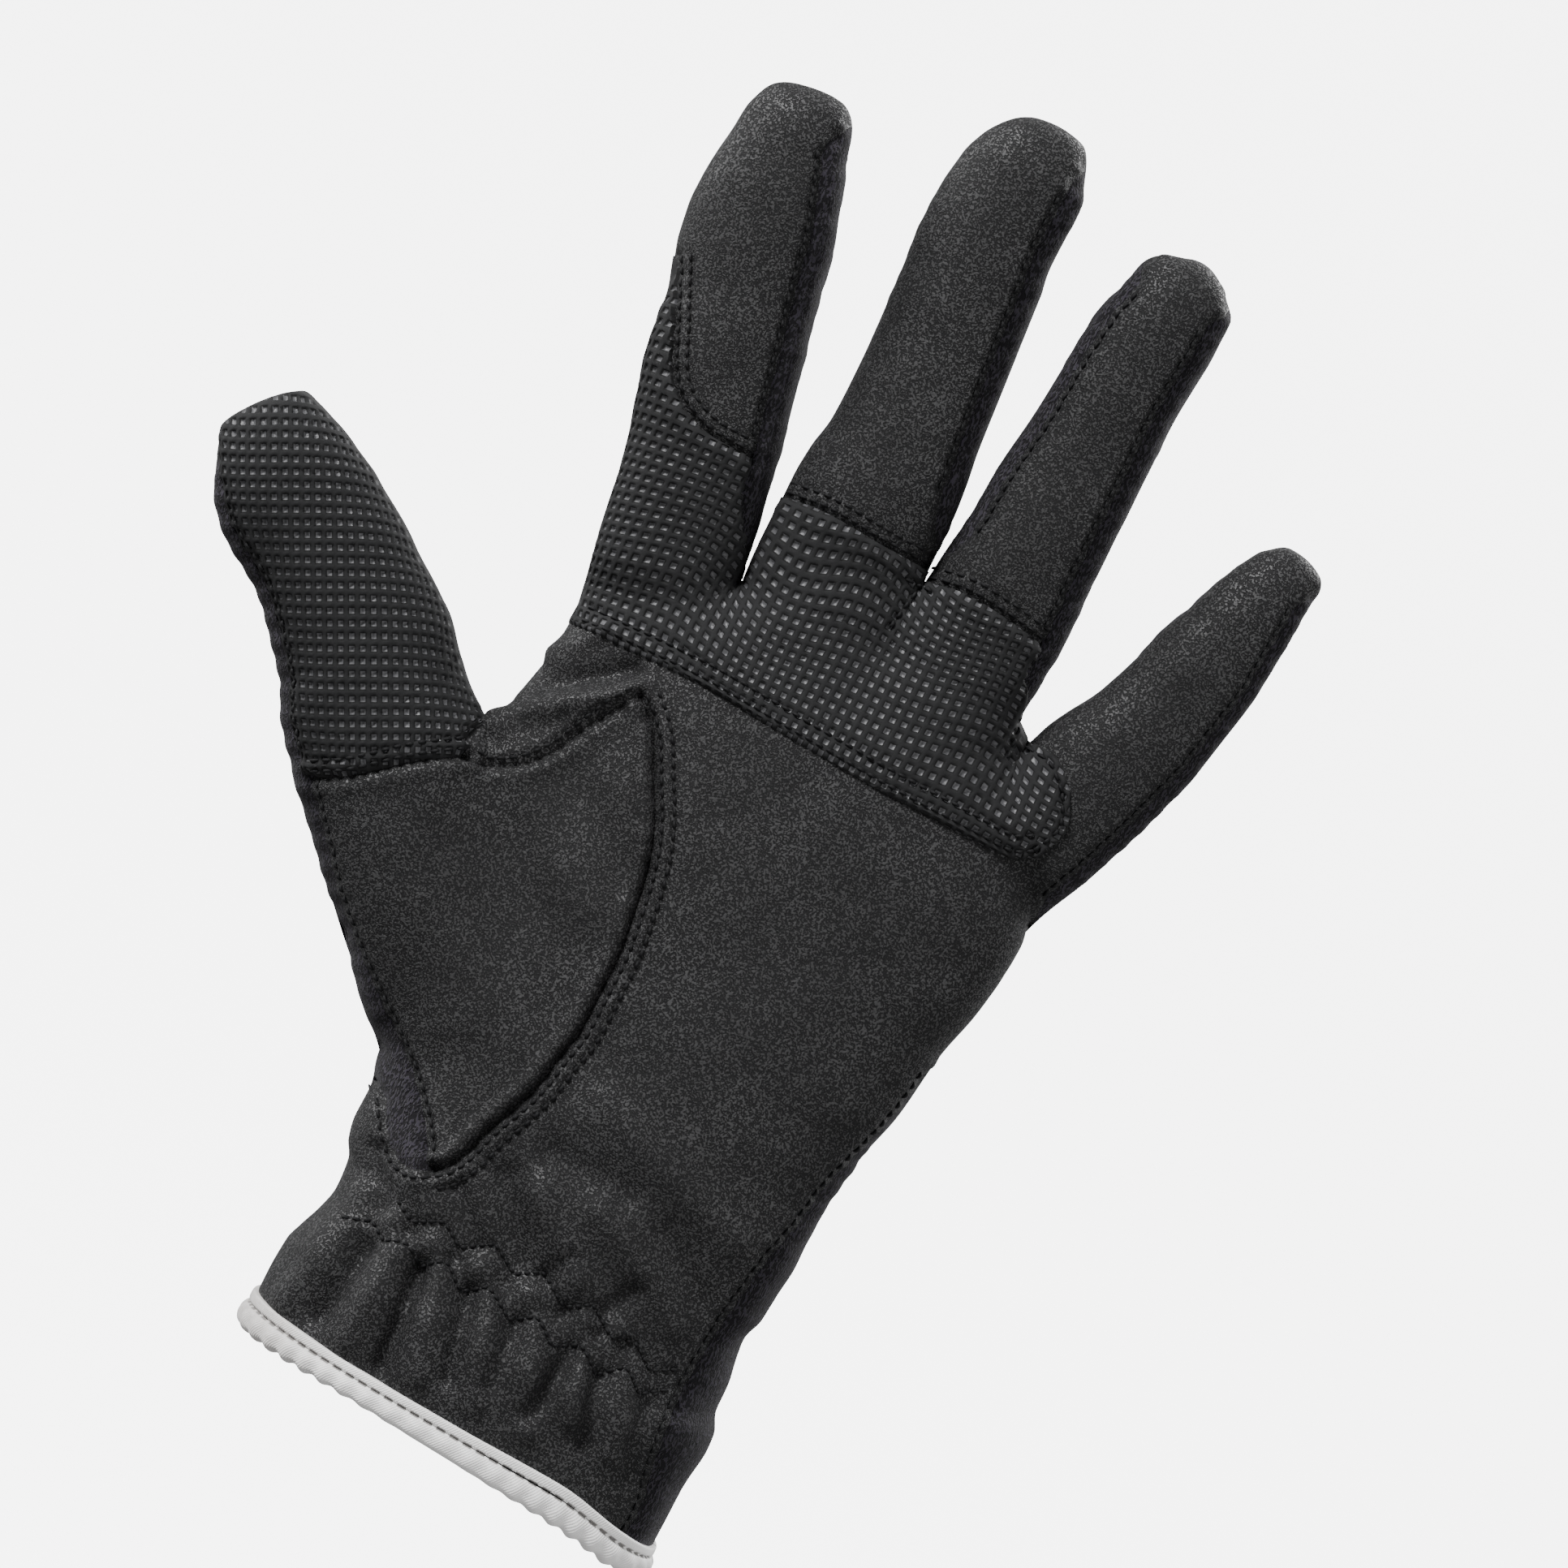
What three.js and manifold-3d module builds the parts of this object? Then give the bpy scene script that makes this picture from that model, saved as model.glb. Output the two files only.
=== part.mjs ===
// A left-hand horse riding glove, open at the cuff and filled as if worn.
// X runs across the palm with the thumb towards -X, -Y is the side that the palm faces,
// and +Z runs from the cuff to the fingertips. The origin is the middle of the cuff's mouth.
// The hand's form is a set of lofts: one for the palm and cuff, one for each finger and one for the
// thumb. Their joined skin is cut into the glove's panels along its seams.
import * as THREE from 'three';
import { mergeVertices } from 'three/addons/utils/BufferGeometryUtils.js';
import Module from 'manifold-3d';

const wasm = await Module();
wasm.setup();

// Driving sizes in millimetres
const cuffBreadth = 76.5;
const cuffDepth = 50;
const wristBreadth = 71.3;
const wristDepth = 44;
const elasticRise = 28.5;
const palmBreadth = 91;
const palmDepth = 34;
const palmLength = 150;
const indexLength = 94.6;
const indexBreadth = 24.5;
const indexDepth = 21.5;
const middleLength = 105.6;
const middleBreadth = 23.5;
const middleDepth = 21.5;
const ringLength = 96.8;
const ringBreadth = 22;
const ringDepth = 20.5;
const littleLength = 75.1;
const littleBreadth = 21.5;
const littleDepth = 18.5;
const thumbLength = 120.3;
const thumbBreadth = 26;
const thumbDepth = 23;
const thumbForward = 14;
const fingerCurl = 7;
const wall = 1.2;
const seamGap = 0.3;
const patchThickness = 0.9;
const tapeThickness = 0.9;
const tapeRise = 5.8;
const gatherPitch = 11;
const gatherDepth = 1.1;
const forkDepth = 4;

// Angles in degrees
const indexLean = -9.4;
const middleLean = -1.1;
const ringLean = 3.4;
const littleLean = 16.6;
const thumbLean = -48.9;
const cuffSlant = 5;

// Fineness of the facets
const fingerSides = 12;
const thumbSides = 14;
const ringSamples = 240;
const reach = 400;
const middleCell = 30;
const lattice = 0.002;

const degrees = THREE.MathUtils.degToRad;

function table(columns, rows) {
  return rows.map((row) => Object.fromEntries(columns.map((name, i) => [name, row[i]])));
}

// Sections of the cuff above its tape: rise as a share of elasticRise, waist from 0 (cuff) to 1
// (wrist), left and right as shares of the breadth there, gather as a share of gatherDepth. They
// slant with the cuff's mouth.
const cuffSections = table(['rise', 'waist', 'left', 'right', 'gather'], [
  [0, 0, 0.488, 0.505, 0.1],
  [0.33, 0, 0.489, 0.507, 0.8],
  [0.6, 0, 0.484, 0.516, 1],
  [0.82, 0.6, 0.475, 0.525, 1],
  [1, 1, 0.473, 0.527, 0.5],
  [1.18, 1, 0.485, 0.519, 1],
  [1.4, 1, 0.508, 0.53, 0.8],
]);

// Sections of the palm: rise as a share of palmLength, left and right as shares of palmBreadth,
// depth as a share of palmDepth, gather as a share of gatherDepth, slant as a share of cuffSlant. The
// rows with end 1 close the palm between the fingers, and move up as the surface grows.
const palmSections = table(['rise', 'left', 'right', 'depth', 'gather', 'slant', 'end'], [
  [0.34, 0.41, 0.425, 1.27, 0.3, 0.5, 0],
  [0.41, 0.425, 0.425, 1.24, 0, 0.2, 0],
  [0.5, 0.445, 0.44, 1.18, 0, 0, 0],
  [0.6, 0.463, 0.48, 1.1, 0, 0, 0],
  [0.69, 0.471, 0.512, 1.04, 0, 0, 0],
  [0.75, 0.474, 0.526, 1, 0, 0, 0],
  [0.82, 0.46, 0.516, 0.93, 0, 0, 0],
  [0.89, 0.449, 0.487, 0.79, 0, 0, 0],
  [0.94, 0.43, 0.42, 0.65, 0, 0, 1],
  [0.97, 0.4, 0.36, 0.45, 0, 0, 1],
]);

// Sections of a finger: along as a share of its length, aside as a share of its breadth, with plus
// towards the little finger, and breadth and depth as shares of the finger's own.
const fingerColumns = ['along', 'aside', 'breadth', 'depth'];
const indexSections = table(fingerColumns, [
  [0, 0, 0.96, 1],
  [0.25, 0, 0.98, 1],
  [0.4, -0.015, 1.01, 1],
  [0.7, -0.09, 1.01, 0.96],
  [0.78, -0.09, 0.975, 0.92],
  [0.86, -0.08, 0.86, 0.84],
  [0.92, -0.06, 0.75, 0.74],
  [0.965, -0.045, 0.64, 0.58],
  [0.99, -0.04, 0.48, 0.36],
]);
const middleSections = table(fingerColumns, [
  [0, 0, 1.05, 1],
  [0.25, 0.005, 1.13, 1],
  [0.34, 0.005, 1.12, 1],
  [0.5, 0.013, 1.01, 0.98],
  [0.74, -0.04, 0.96, 0.93],
  [0.9, -0.035, 0.89, 0.8],
  [0.945, -0.02, 0.76, 0.68],
  [0.975, 0, 0.6, 0.52],
  [0.993, 0.02, 0.4, 0.32],
]);
const ringSections = table(fingerColumns, [
  [0, 0, 1.1, 1],
  [0.25, 0.01, 1.13, 1],
  [0.45, 0.018, 1.03, 0.99],
  [0.55, 0, 1.01, 0.98],
  [0.76, -0.005, 0.91, 0.92],
  [0.86, 0.015, 0.88, 0.86],
  [0.92, 0.035, 0.8, 0.76],
  [0.96, 0.02, 0.66, 0.6],
  [0.988, 0.03, 0.4, 0.36],
]);
const littleSections = table(fingerColumns, [
  [0, -0.04, 0.98, 1.1],
  [0.2, 0, 1.05, 1.05],
  [0.35, 0.02, 1.06, 1],
  [0.46, 0.07, 0.975, 0.98],
  [0.68, 0.07, 0.86, 0.92],
  [0.78, 0.05, 0.76, 0.87],
  [0.87, 0.02, 0.66, 0.78],
  [0.93, 0.015, 0.56, 0.66],
  [0.968, 0.03, 0.46, 0.52],
  [0.99, 0.04, 0.32, 0.34],
]);
const thumbSections = table(fingerColumns, [
  [0, 0, 1, 1.05],
  [0.1, 0.04, 1.24, 1.3],
  [0.2, 0.06, 1.33, 1.42],
  [0.4, 0.13, 1.29, 1.3],
  [0.5, 0.155, 1.235, 1.18],
  [0.65, 0.235, 1.11, 1.02],
  [0.72, 0.265, 1.03, 0.97],
  [0.8, 0.262, 0.99, 0.92],
  [0.88, 0.22, 0.93, 0.84],
  [0.935, 0.21, 0.79, 0.72],
  [0.97, 0.22, 0.66, 0.58],
  [0.992, 0.225, 0.5, 0.4],
]);

// Main folds of the palm side: ends as shares of palmBreadth and palmLength, spread and height in
// shares of palmDepth, with plus for a ridge and minus for a valley.
const palmFolds = table(['fromX', 'fromZ', 'toX', 'toZ', 'spread', 'height'], [
  [-0.062, 0.35, 0.168, 0.298, 0.08, -0.05],
  [-0.007, 0.407, 0.295, 0.335, 0.11, 0.045],
  [-0.086, 0.27, -0.063, 0.227, 0.07, -0.035],
  [-0.038, 0.3, -0.01, 0.24, 0.07, 0.035],
  [-0.4, 0.74, -0.286, 0.807, 0.07, 0.03],
]);

// Each digit has its root as shares of palmBreadth and palmLength, a lean in the palm's plane, and
// its own sizes and sections.
const digits = {
  index: { rootX: -0.319, rootZ: 0.853, lean: indexLean, length: indexLength, breadth: indexBreadth,
    depth: indexDepth, sections: indexSections, sides: fingerSides },
  middle: { rootX: -0.066, rootZ: 0.853, lean: middleLean, length: middleLength, breadth: middleBreadth,
    depth: middleDepth, sections: middleSections, sides: fingerSides },
  ring: { rootX: 0.187, rootZ: 0.853, lean: ringLean, length: ringLength, breadth: ringBreadth,
    depth: ringDepth, sections: ringSections, sides: fingerSides },
  little: { rootX: 0.418, rootZ: 0.787, lean: littleLean, length: littleLength, breadth: littleBreadth,
    depth: littleDepth, sections: littleSections, sides: fingerSides },
  thumb: { rootX: -0.154, rootZ: 0.347, lean: thumbLean, length: thumbLength, breadth: thumbBreadth,
    depth: thumbDepth, sections: thumbSections, sides: thumbSides },
};

// The point of a digit at a share of its length and breadth, in the palm's plane.
function digitPoint(digit, along, aside) {
  const angle = degrees(digit.lean);
  const far = along * digit.length;
  const side = aside * digit.breadth;
  return new THREE.Vector2(
    digit.rootX * palmBreadth + far * Math.sin(angle) + side * Math.cos(angle),
    digit.rootZ * palmLength + far * Math.cos(angle) - side * Math.sin(angle),
  );
}

// How far along the thumb a point of the palm's plane lies, as a share of its length.
function alongThumb(x, z) {
  const angle = degrees(thumbLean);
  const dx = x - digits.thumb.rootX * palmBreadth;
  const dz = z - digits.thumb.rootZ * palmLength;
  return (dx * Math.sin(angle) + dz * Math.cos(angle)) / thumbLength;
}

// Where the thumb's share of the middle surface starts and is whole, as shares of palmBreadth to the
// left and of palmLength upward: beside the palm, below the index finger and below the thumb's tip.
// Left of thumbOnly there is no finger above the thumb.
const besidePalm = [0.27, 0.55];
const belowIndex = [0.72, 0.85];
const belowThumbTip = [0.95, 1];
const thumbOnly = 0.6;

// The glove's middle surface, halfway between palm and back: the fingers curl forward in a
// parabola, and the thumb comes forward evenly along its length.
function middleY(x, z) {
  const [left, up] = [-x / palmBreadth, z / palmLength];
  const curl = Math.max(0, (z - digits.index.rootZ * palmLength) / middleLength);
  const onThumb = THREE.MathUtils.smoothstep(left, ...besidePalm);
  const clearOfIndex = left > thumbOnly ? 1 : 1 - THREE.MathUtils.smoothstep(up, ...belowIndex);
  const clearOfTip = 1 - THREE.MathUtils.smoothstep(up, ...belowThumbTip);
  const forward = Math.max(0, alongThumb(x, z)) * onThumb * clearOfIndex * clearOfTip;
  return -fingerCurl * curl * curl - thumbForward * forward;
}

// One closed ring of a loft, its points spaced evenly along the superellipse
// |a / halfBreadth|^square + |b / halfDepth|^square = 1 and then moved out along its normal.
function ring(halfBreadth, halfDepth, square, sides, grow) {
  const fine = [];
  for (let i = 0; i < ringSamples; i++) {
    const angle = (2 * Math.PI * i) / ringSamples;
    const a = Math.sign(Math.cos(angle)) * Math.abs(Math.cos(angle)) ** (2 / square);
    const b = Math.sign(Math.sin(angle)) * Math.abs(Math.sin(angle)) ** (2 / square);
    fine.push(new THREE.Vector2(a * halfBreadth, b * halfDepth));
  }
  const lengths = [0];
  for (let i = 0; i < ringSamples; i++) {
    lengths.push(lengths[i] + fine[i].distanceTo(fine[(i + 1) % ringSamples]));
  }
  const points = [];
  let at = 0;
  for (let j = 0; j < sides; j++) {
    const wanted = (lengths[ringSamples] * j) / sides;
    while (lengths[at + 1] < wanted) {
      at += 1;
    }
    const share = (wanted - lengths[at]) / (lengths[at + 1] - lengths[at]);
    const point = fine[at].clone().lerp(fine[(at + 1) % ringSamples], share);
    const slope = (value, half) => (Math.sign(value) * Math.abs(value / half) ** (square - 1)) / half;
    const normal = new THREE.Vector2(slope(point.x, halfBreadth), slope(point.y, halfDepth)).normalize();
    points.push({ base: point, grown: point.clone().addScaledVector(normal, grow) });
  }
  return points;
}

function solidOf(vertices, triangles) {
  const mesh = new wasm.Mesh({
    numProp: 3,
    vertProperties: new Float32Array(vertices),
    triVerts: new Uint32Array(triangles),
  });
  return new wasm.Manifold(mesh);
}

// A closed solid through rings of equal point counts, each end closed by a fan from its middle.
function loftSolid(rings) {
  const sides = rings[0].length;
  const vertices = rings.flat().flatMap((point) => point.toArray());
  const triangles = [];
  for (let i = 0; i + 1 < rings.length; i++) {
    for (let j = 0; j < sides; j++) {
      const next = (j + 1) % sides;
      const [a, b] = [i * sides + j, i * sides + next];
      const [c, d] = [(i + 1) * sides + j, (i + 1) * sides + next];
      triangles.push(a, b, d, a, d, c);
    }
  }
  for (const [first, flip] of [[0, true], [(rings.length - 1) * sides, false]]) {
    const middle = new THREE.Vector3();
    for (let j = 0; j < sides; j++) {
      middle.add(rings[first / sides][j]);
    }
    const hub = vertices.length / 3;
    vertices.push(...middle.divideScalar(sides).toArray());
    for (let j = 0; j < sides; j++) {
      const pair = [first + j, first + ((j + 1) % sides)];
      triangles.push(hub, ...(flip ? pair.reverse() : pair));
    }
  }
  return solidOf(vertices, triangles);
}

// How far the folds raise or sink the palm side at a point.
function foldHeight(x, z) {
  let height = 0;
  for (const fold of palmFolds) {
    const start = new THREE.Vector2(fold.fromX * palmBreadth, fold.fromZ * palmLength);
    const end = new THREE.Vector2(fold.toX * palmBreadth, fold.toZ * palmLength);
    const run = end.clone().sub(start);
    const offset = new THREE.Vector2(x, z).sub(start);
    const share = THREE.MathUtils.clamp(offset.dot(run) / run.lengthSq(), 0, 1);
    const distance = offset.distanceTo(run.multiplyScalar(share));
    const spread = fold.spread * palmDepth;
    height += fold.height * palmDepth * Math.exp(-((distance / spread) ** 2));
  }
  return height;
}

// Sections of the palm and cuff in millimetres. The cuff's lowest stretch is straight, so that the
// tape lies flat on it.
function cuffSection(row, rise) {
  const breadth = THREE.MathUtils.lerp(cuffBreadth, wristBreadth, row.waist);
  return { z: rise, left: -row.left * breadth, right: row.right * breadth, gather: row.gather, slant: 1,
    end: 0, depth: THREE.MathUtils.lerp(cuffDepth, wristDepth, row.waist) };
}
const upperSections = [
  ...cuffSections.slice(1).map((row) => cuffSection(row, row.rise * elasticRise)),
  ...palmSections.map((row) => ({ z: row.rise * palmLength, left: -row.left * palmBreadth,
    right: row.right * palmBreadth, depth: row.depth * palmDepth, gather: row.gather, slant: row.slant,
    end: row.end })),
];

// One ring of the palm or cuff, grown outward by a distance. Every other point stands out and the
// rest sink in, which makes the gathers of the elastic.
const palmSquare = 2.5;
const gatherCount = Math.round((Math.PI * (wristBreadth + wristDepth)) / 2 / gatherPitch);
function palmRing(section, grow) {
  const middle = (section.left + section.right) / 2;
  const halfBreadth = (section.right - section.left) / 2;
  const slope = Math.tan(degrees(cuffSlant)) * section.slant;
  return ring(halfBreadth, section.depth / 2, palmSquare, 2 * gatherCount, grow).map(({ base, grown }, j) => {
    const out = base.clone().normalize();
    const pleat = (j % 2 ? -1 : 1) * gatherDepth * section.gather;
    const fold = base.y < 0 ? foldHeight(base.x + middle, section.z) * -out.y : 0;
    const point = grown.addScaledVector(out, pleat + fold);
    const z = section.z + section.end * grow - (point.x + middle) * slope;
    return new THREE.Vector3(point.x + middle, point.y, z);
  });
}

// The palm and cuff from a height above the mouth, grown outward by a distance.
function palmLoft(grow, foot) {
  const lower = [foot, tapeRise + seamGap].map((rise) => cuffSection(cuffSections[0], rise));
  return loftSolid([...lower, ...upperSections].map((section) => palmRing(section, grow)));
}

// A digit, grown outward by a distance, with its rounded end moved out by as much.
const digitSquare = 2.35;
function digitLoft(digit, grow) {
  const angle = degrees(digit.lean);
  const across = new THREE.Vector3(Math.cos(angle), 0, -Math.sin(angle));
  const rings = digit.sections.map((section) => {
    const stretch = 1 + grow / digit.length;
    const flat = digitPoint(digit, section.along * stretch, section.aside);
    const centre = new THREE.Vector3(flat.x, digitMiddle(digit, section.along), flat.y);
    const halfBreadth = (section.breadth * digit.breadth) / 2;
    const halfDepth = (section.depth * digit.depth) / 2;
    return ring(halfBreadth, halfDepth, digitSquare, digit.sides, grow).map(({ grown }) =>
      centre.clone().addScaledVector(across, grown.x).add(new THREE.Vector3(0, grown.y, 0)));
  });
  return loftSolid(rings);
}

// Where a digit's axis lies between palm and back.
function digitMiddle(digit, along) {
  if (digit === digits.thumb) {
    return -thumbForward * along;
  }
  const flat = digitPoint(digit, along, 0);
  return middleY(flat.x, flat.y);
}

// The whole hand from a height above the mouth, grown outward by a distance.
function hand(grow, foot) {
  const parts = Object.values(digits).map((digit) => digitLoft(digit, grow));
  return parts.reduce((sum, part) => sum.add(part), palmLoft(grow, foot));
}

// A closed solid from a three.js geometry.
function solidFrom(geometry, tolerance = 1e-4) {
  geometry.deleteAttribute('normal');
  geometry.deleteAttribute('uv');
  const merged = mergeVertices(geometry, tolerance);
  return solidOf(merged.attributes.position.array, merged.index.array);
}

// Everything in front of the middle surface, moved back by a shift: a block whose rear face is a
// grid of points on that surface, close together across the thumb, and whose front face stands clear
// of the glove by frontReach times palmDepth.
const gridShares = [-1.6, -0.8, -0.62, -0.5, -0.37, -0.27, 1];
const frontReach = 4;
function frontBlock(shift) {
  const columns = gridShares.length - 1;
  const [low, high] = [-elasticRise, palmLength + middleLength];
  const rows = Math.ceil((high - low) / middleCell);
  const block = new THREE.BoxGeometry(columns, 1, rows, columns, 1, rows);
  const position = block.attributes.position;
  for (let i = 0; i < position.count; i++) {
    const x = gridShares[Math.round(position.getX(i) + columns / 2)] * palmBreadth;
    const z = THREE.MathUtils.lerp(low, high, position.getZ(i) / rows + 0.5);
    const y = position.getY(i) > 0 ? middleY(x, z) + shift : -frontReach * palmDepth;
    position.setXYZ(i, x, y, z);
  }
  return solidFrom(block);
}

// A prism along Y from an outline in the palm's plane, its sides moved outward by a distance.
function prism(outline, grow = 0) {
  const counterClockwise = THREE.ShapeUtils.area(outline) > 0 ? outline : [...outline].reverse();
  const count = counterClockwise.length;
  const moved = counterClockwise.map((point, i) => {
    const before = point.clone().sub(counterClockwise[(i + count - 1) % count]).normalize();
    const after = counterClockwise[(i + 1) % count].clone().sub(point).normalize();
    const bisector = new THREE.Vector2(before.y + after.y, -before.x - after.x);
    const scale = (2 * grow) / Math.max(bisector.lengthSq(), 0.5);
    return point.clone().addScaledVector(bisector, scale);
  });
  const geometry = new THREE.ExtrudeGeometry(new THREE.Shape(moved), { depth: reach, bevelEnabled: false });
  geometry.rotateX(Math.PI / 2);
  geometry.translate(0, reach / 2, 0);
  return solidFrom(geometry);
}

// A point of the palm's plane from shares of palmBreadth and palmLength.
const palmPoint = (x, z) => new THREE.Vector2(x * palmBreadth, z * palmLength);
const palmLine = (pairs) => pairs.map(([x, z]) => palmPoint(x, z));
const digitLine = (digit, pairs) => pairs.map(([along, aside]) => digitPoint(digit, along, aside));

// Seams that two panels share, as shares of the palm or of the digit that they cross.
const thumbSeam = palmLine([
  [-0.236, 0.262], [-0.207, 0.271], [-0.184, 0.297], [-0.17, 0.326], [-0.14, 0.369], [-0.116, 0.429],
  [-0.103, 0.48], [-0.103, 0.547], [-0.114, 0.603], [-0.132, 0.658], [-0.156, 0.698], [-0.191, 0.737],
  [-0.232, 0.781], [-0.28, 0.809],
]);
const flapSeam = palmLine([[-0.333, 0.759], [-0.378, 0.708], [-0.43, 0.678], [-0.482, 0.661]]);
const gripSeam = digitLine(digits.thumb, [
  [0.461, 0.6], [0.475, 0.3], [0.495, -0.05], [0.512, -0.35], [0.52, -0.8],
]);
const thumbEdge = digitLine(digits.thumb, [[0.486, -0.33], [0.313, -0.475], [0.182, -0.504]]);
const indexSeam = digitLine(digits.index, [
  [0.66, -0.75], [0.62, -0.54], [0.53, -0.42], [0.44, -0.25], [0.395, -0.05], [0.38, 0.2], [0.375, 0.48],
]);
const middleSeam = digitLine(digits.middle, [[0.318, -0.62], [0.314, -0.3], [0.305, 0.2], [0.304, 0.54]]);
const ringSeam = digitLine(digits.ring, [[0.328, -0.49], [0.325, -0.1], [0.318, 0.3], [0.312, 0.54]]);

// Where the index finger's side meets the middle finger
const indexCrotch = digitPoint(digits.index, 0.17, 0.46);

// Edge of the leather along the little finger's side and down to the cuff
const outerEdge = palmLine([
  [0.6, 0.87], [0.54, 0.8], [0.515, 0.76], [0.53, 0.72], [0.52, 0.66], [0.49, 0.58], [0.455, 0.5],
  [0.42, 0.44], [0.39, 0.38], [0.365, 0.32], [0.35, 0.24], [0.345, 0.16], [0.355, 0.09], [0.375, -0.1],
]);

// Outlines of the panels, in the palm's plane. Where a panel runs round the side, its outline
// stands clear of the glove.
const littleTip = digitLine(digits.little, [
  [0.45, -0.58], [0.5, -0.55], [0.8, -0.55], [1.1, -0.5], [1.1, 0.7], [0.6, 0.62], [0.35, 0.56], [0.2, 0.5],
]);
const outlines = {
  thumb_grip_front: [...gripSeam, ...digitLine(digits.thumb, [
    [0.65, -0.12], [0.8, -0.08], [0.95, -0.12], [1.1, -0.12], [1.1, 1.1], [0.6, 1.1], [0.48, 0.93],
  ])],
  thumb_gusset: [...flapSeam.slice().reverse(), palmPoint(-0.28, 0.809), palmPoint(-0.285, 0.852),
    palmPoint(-0.62, 0.852), palmPoint(-0.54, 0.725), palmPoint(-0.515, 0.69)],
  thumb_base: [...thumbSeam, ...flapSeam, ...gripSeam.slice(0, -1), ...thumbEdge, ...palmLine([
    [-0.356, 0.345], [-0.293, 0.311], [-0.253, 0.296],
  ])],
  palm: [...palmLine([[-0.7, -0.1], [-0.7, 0.335], [-0.39, 0.325], [-0.36, 0.3], [-0.33, 0.272],
    [-0.3, 0.255], [-0.265, 0.251]]), ...thumbSeam, palmPoint(-0.285, 0.852), palmPoint(-0.62, 0.852),
    ...indexSeam, indexCrotch, ...middleSeam, digitPoint(digits.middle, 0.302, 0.57), ...ringSeam,
    digitPoint(digits.ring, 0.165, 0.7), ...littleTip, ...outerEdge],
  index_front: [...indexSeam, ...digitLine(digits.index, [
    [0.6, 0.4], [0.8, 0.33], [0.92, 0.27], [1.1, 0.27], [1.1, -0.75],
  ])],
  middle_front: [...middleSeam, ...digitLine(digits.middle, [
    [0.55, 0.4], [0.8, 0.33], [0.92, 0.33], [1.1, 0.33], [1.1, -0.75], [0.4, -0.75],
  ])],
  ring_front: [...ringSeam, ...digitLine(digits.ring, [
    [0.55, 0.41], [0.8, 0.38], [0.92, 0.38], [1.1, 0.38], [1.1, -0.75], [0.4, -0.75],
  ])],
  knuckle_patch: [...palmLine([[-0.62, 0.845], [-0.445, 0.845], [-0.22, 0.847], [0, 0.84], [0.22, 0.833],
    [0.42, 0.832], [0.47, 0.845], [0.495, 0.885], [0.475, 0.925], [0.42, 0.952]]),
  digitPoint(digits.ring, 0.18, 0.76), digitPoint(digits.ring, 0.31, 0.7),
  ...ringSeam.slice().reverse(), ...middleSeam.slice().reverse(),
  indexCrotch, ...indexSeam.slice().reverse(), palmPoint(-0.75, 1.2)],
};

// Prisms between two fingers, from below their crotch to past their tips.
function forkOutline(one, other, foot) {
  return [digitPoint(one, foot, 0.1), digitPoint(one, 0.5, 0.1), digitPoint(one, 1.1, 0.1),
    digitPoint(other, 1.1, -0.1), digitPoint(other, 0.5, -0.1), digitPoint(other, foot, -0.1)];
}

const hollow = hand(-wall, -elasticRise);
const skin = hand(0, tapeThickness + seamGap).subtract(hollow);
const front = frontBlock(-seamGap / 2);
const frontGrown = frontBlock(seamGap / 2);

function largest(solid) {
  const pieces = solid.decompose();
  return pieces.reduce((best, piece) => (piece.volume() > best.volume() ? piece : best));
}

// Front panels: each takes its outline out of the skin in front of the middle surface, less what
// the panels before it hold.
const pieces = {};
let claimed = null;
function claim(name, body) {
  const outline = outlines[name];
  let piece = body.intersect(front).intersect(prism(outline));
  if (claimed) {
    piece = piece.subtract(claimed);
  }
  pieces[name] = largest(piece);
  const grown = prism(outline, seamGap);
  claimed = claimed ? claimed.add(grown) : grown;
}
claim('thumb_grip_front', skin);
claim('thumb_gusset', skin);
claim('thumb_base', skin);
for (const name of ['index', 'middle', 'ring']) {
  claim(`${name}_front`, digitLoft(digits[name], 0).subtract(hollow));
}
claim('palm', skin);

// What is left of the skin: strips between the fingers, the thumb's back and the hand's back
let rest = skin.subtract(claimed.intersect(frontGrown));
const sideStrip = frontBlock(forkDepth);
const sideStripGrown = frontBlock(forkDepth + seamGap);
const forks = {
  fork_index_middle: forkOutline(digits.index, digits.middle, 0.1),
  fork_middle_ring: forkOutline(digits.middle, digits.ring, 0.22),
  fork_ring_little: forkOutline(digits.ring, digits.little, 0.1),
};
for (const [name, outline] of Object.entries(forks)) {
  pieces[name] = largest(rest.intersect(prism(outline)).intersect(sideStrip));
  rest = rest.subtract(prism(outline, seamGap).intersect(sideStripGrown));
}
const thumbBackOutline = digitLine(digits.thumb, [[0.5, -0.9], [1.2, -0.9], [1.2, 1.2], [0.46, 1.2]]);
pieces.thumb_back = largest(rest.intersect(prism(thumbBackOutline)));
pieces.hand_back = largest(rest.subtract(prism(thumbBackOutline, seamGap)));

// The patch lies on the palm and the roots of three fingers, a seam's gap above them.
const patchLayer = hand(seamGap + patchThickness, 0).subtract(hand(seamGap, 0));
pieces.knuckle_patch = patchLayer.intersect(frontBlock(-forkDepth)).intersect(prism(outlines.knuckle_patch));

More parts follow.
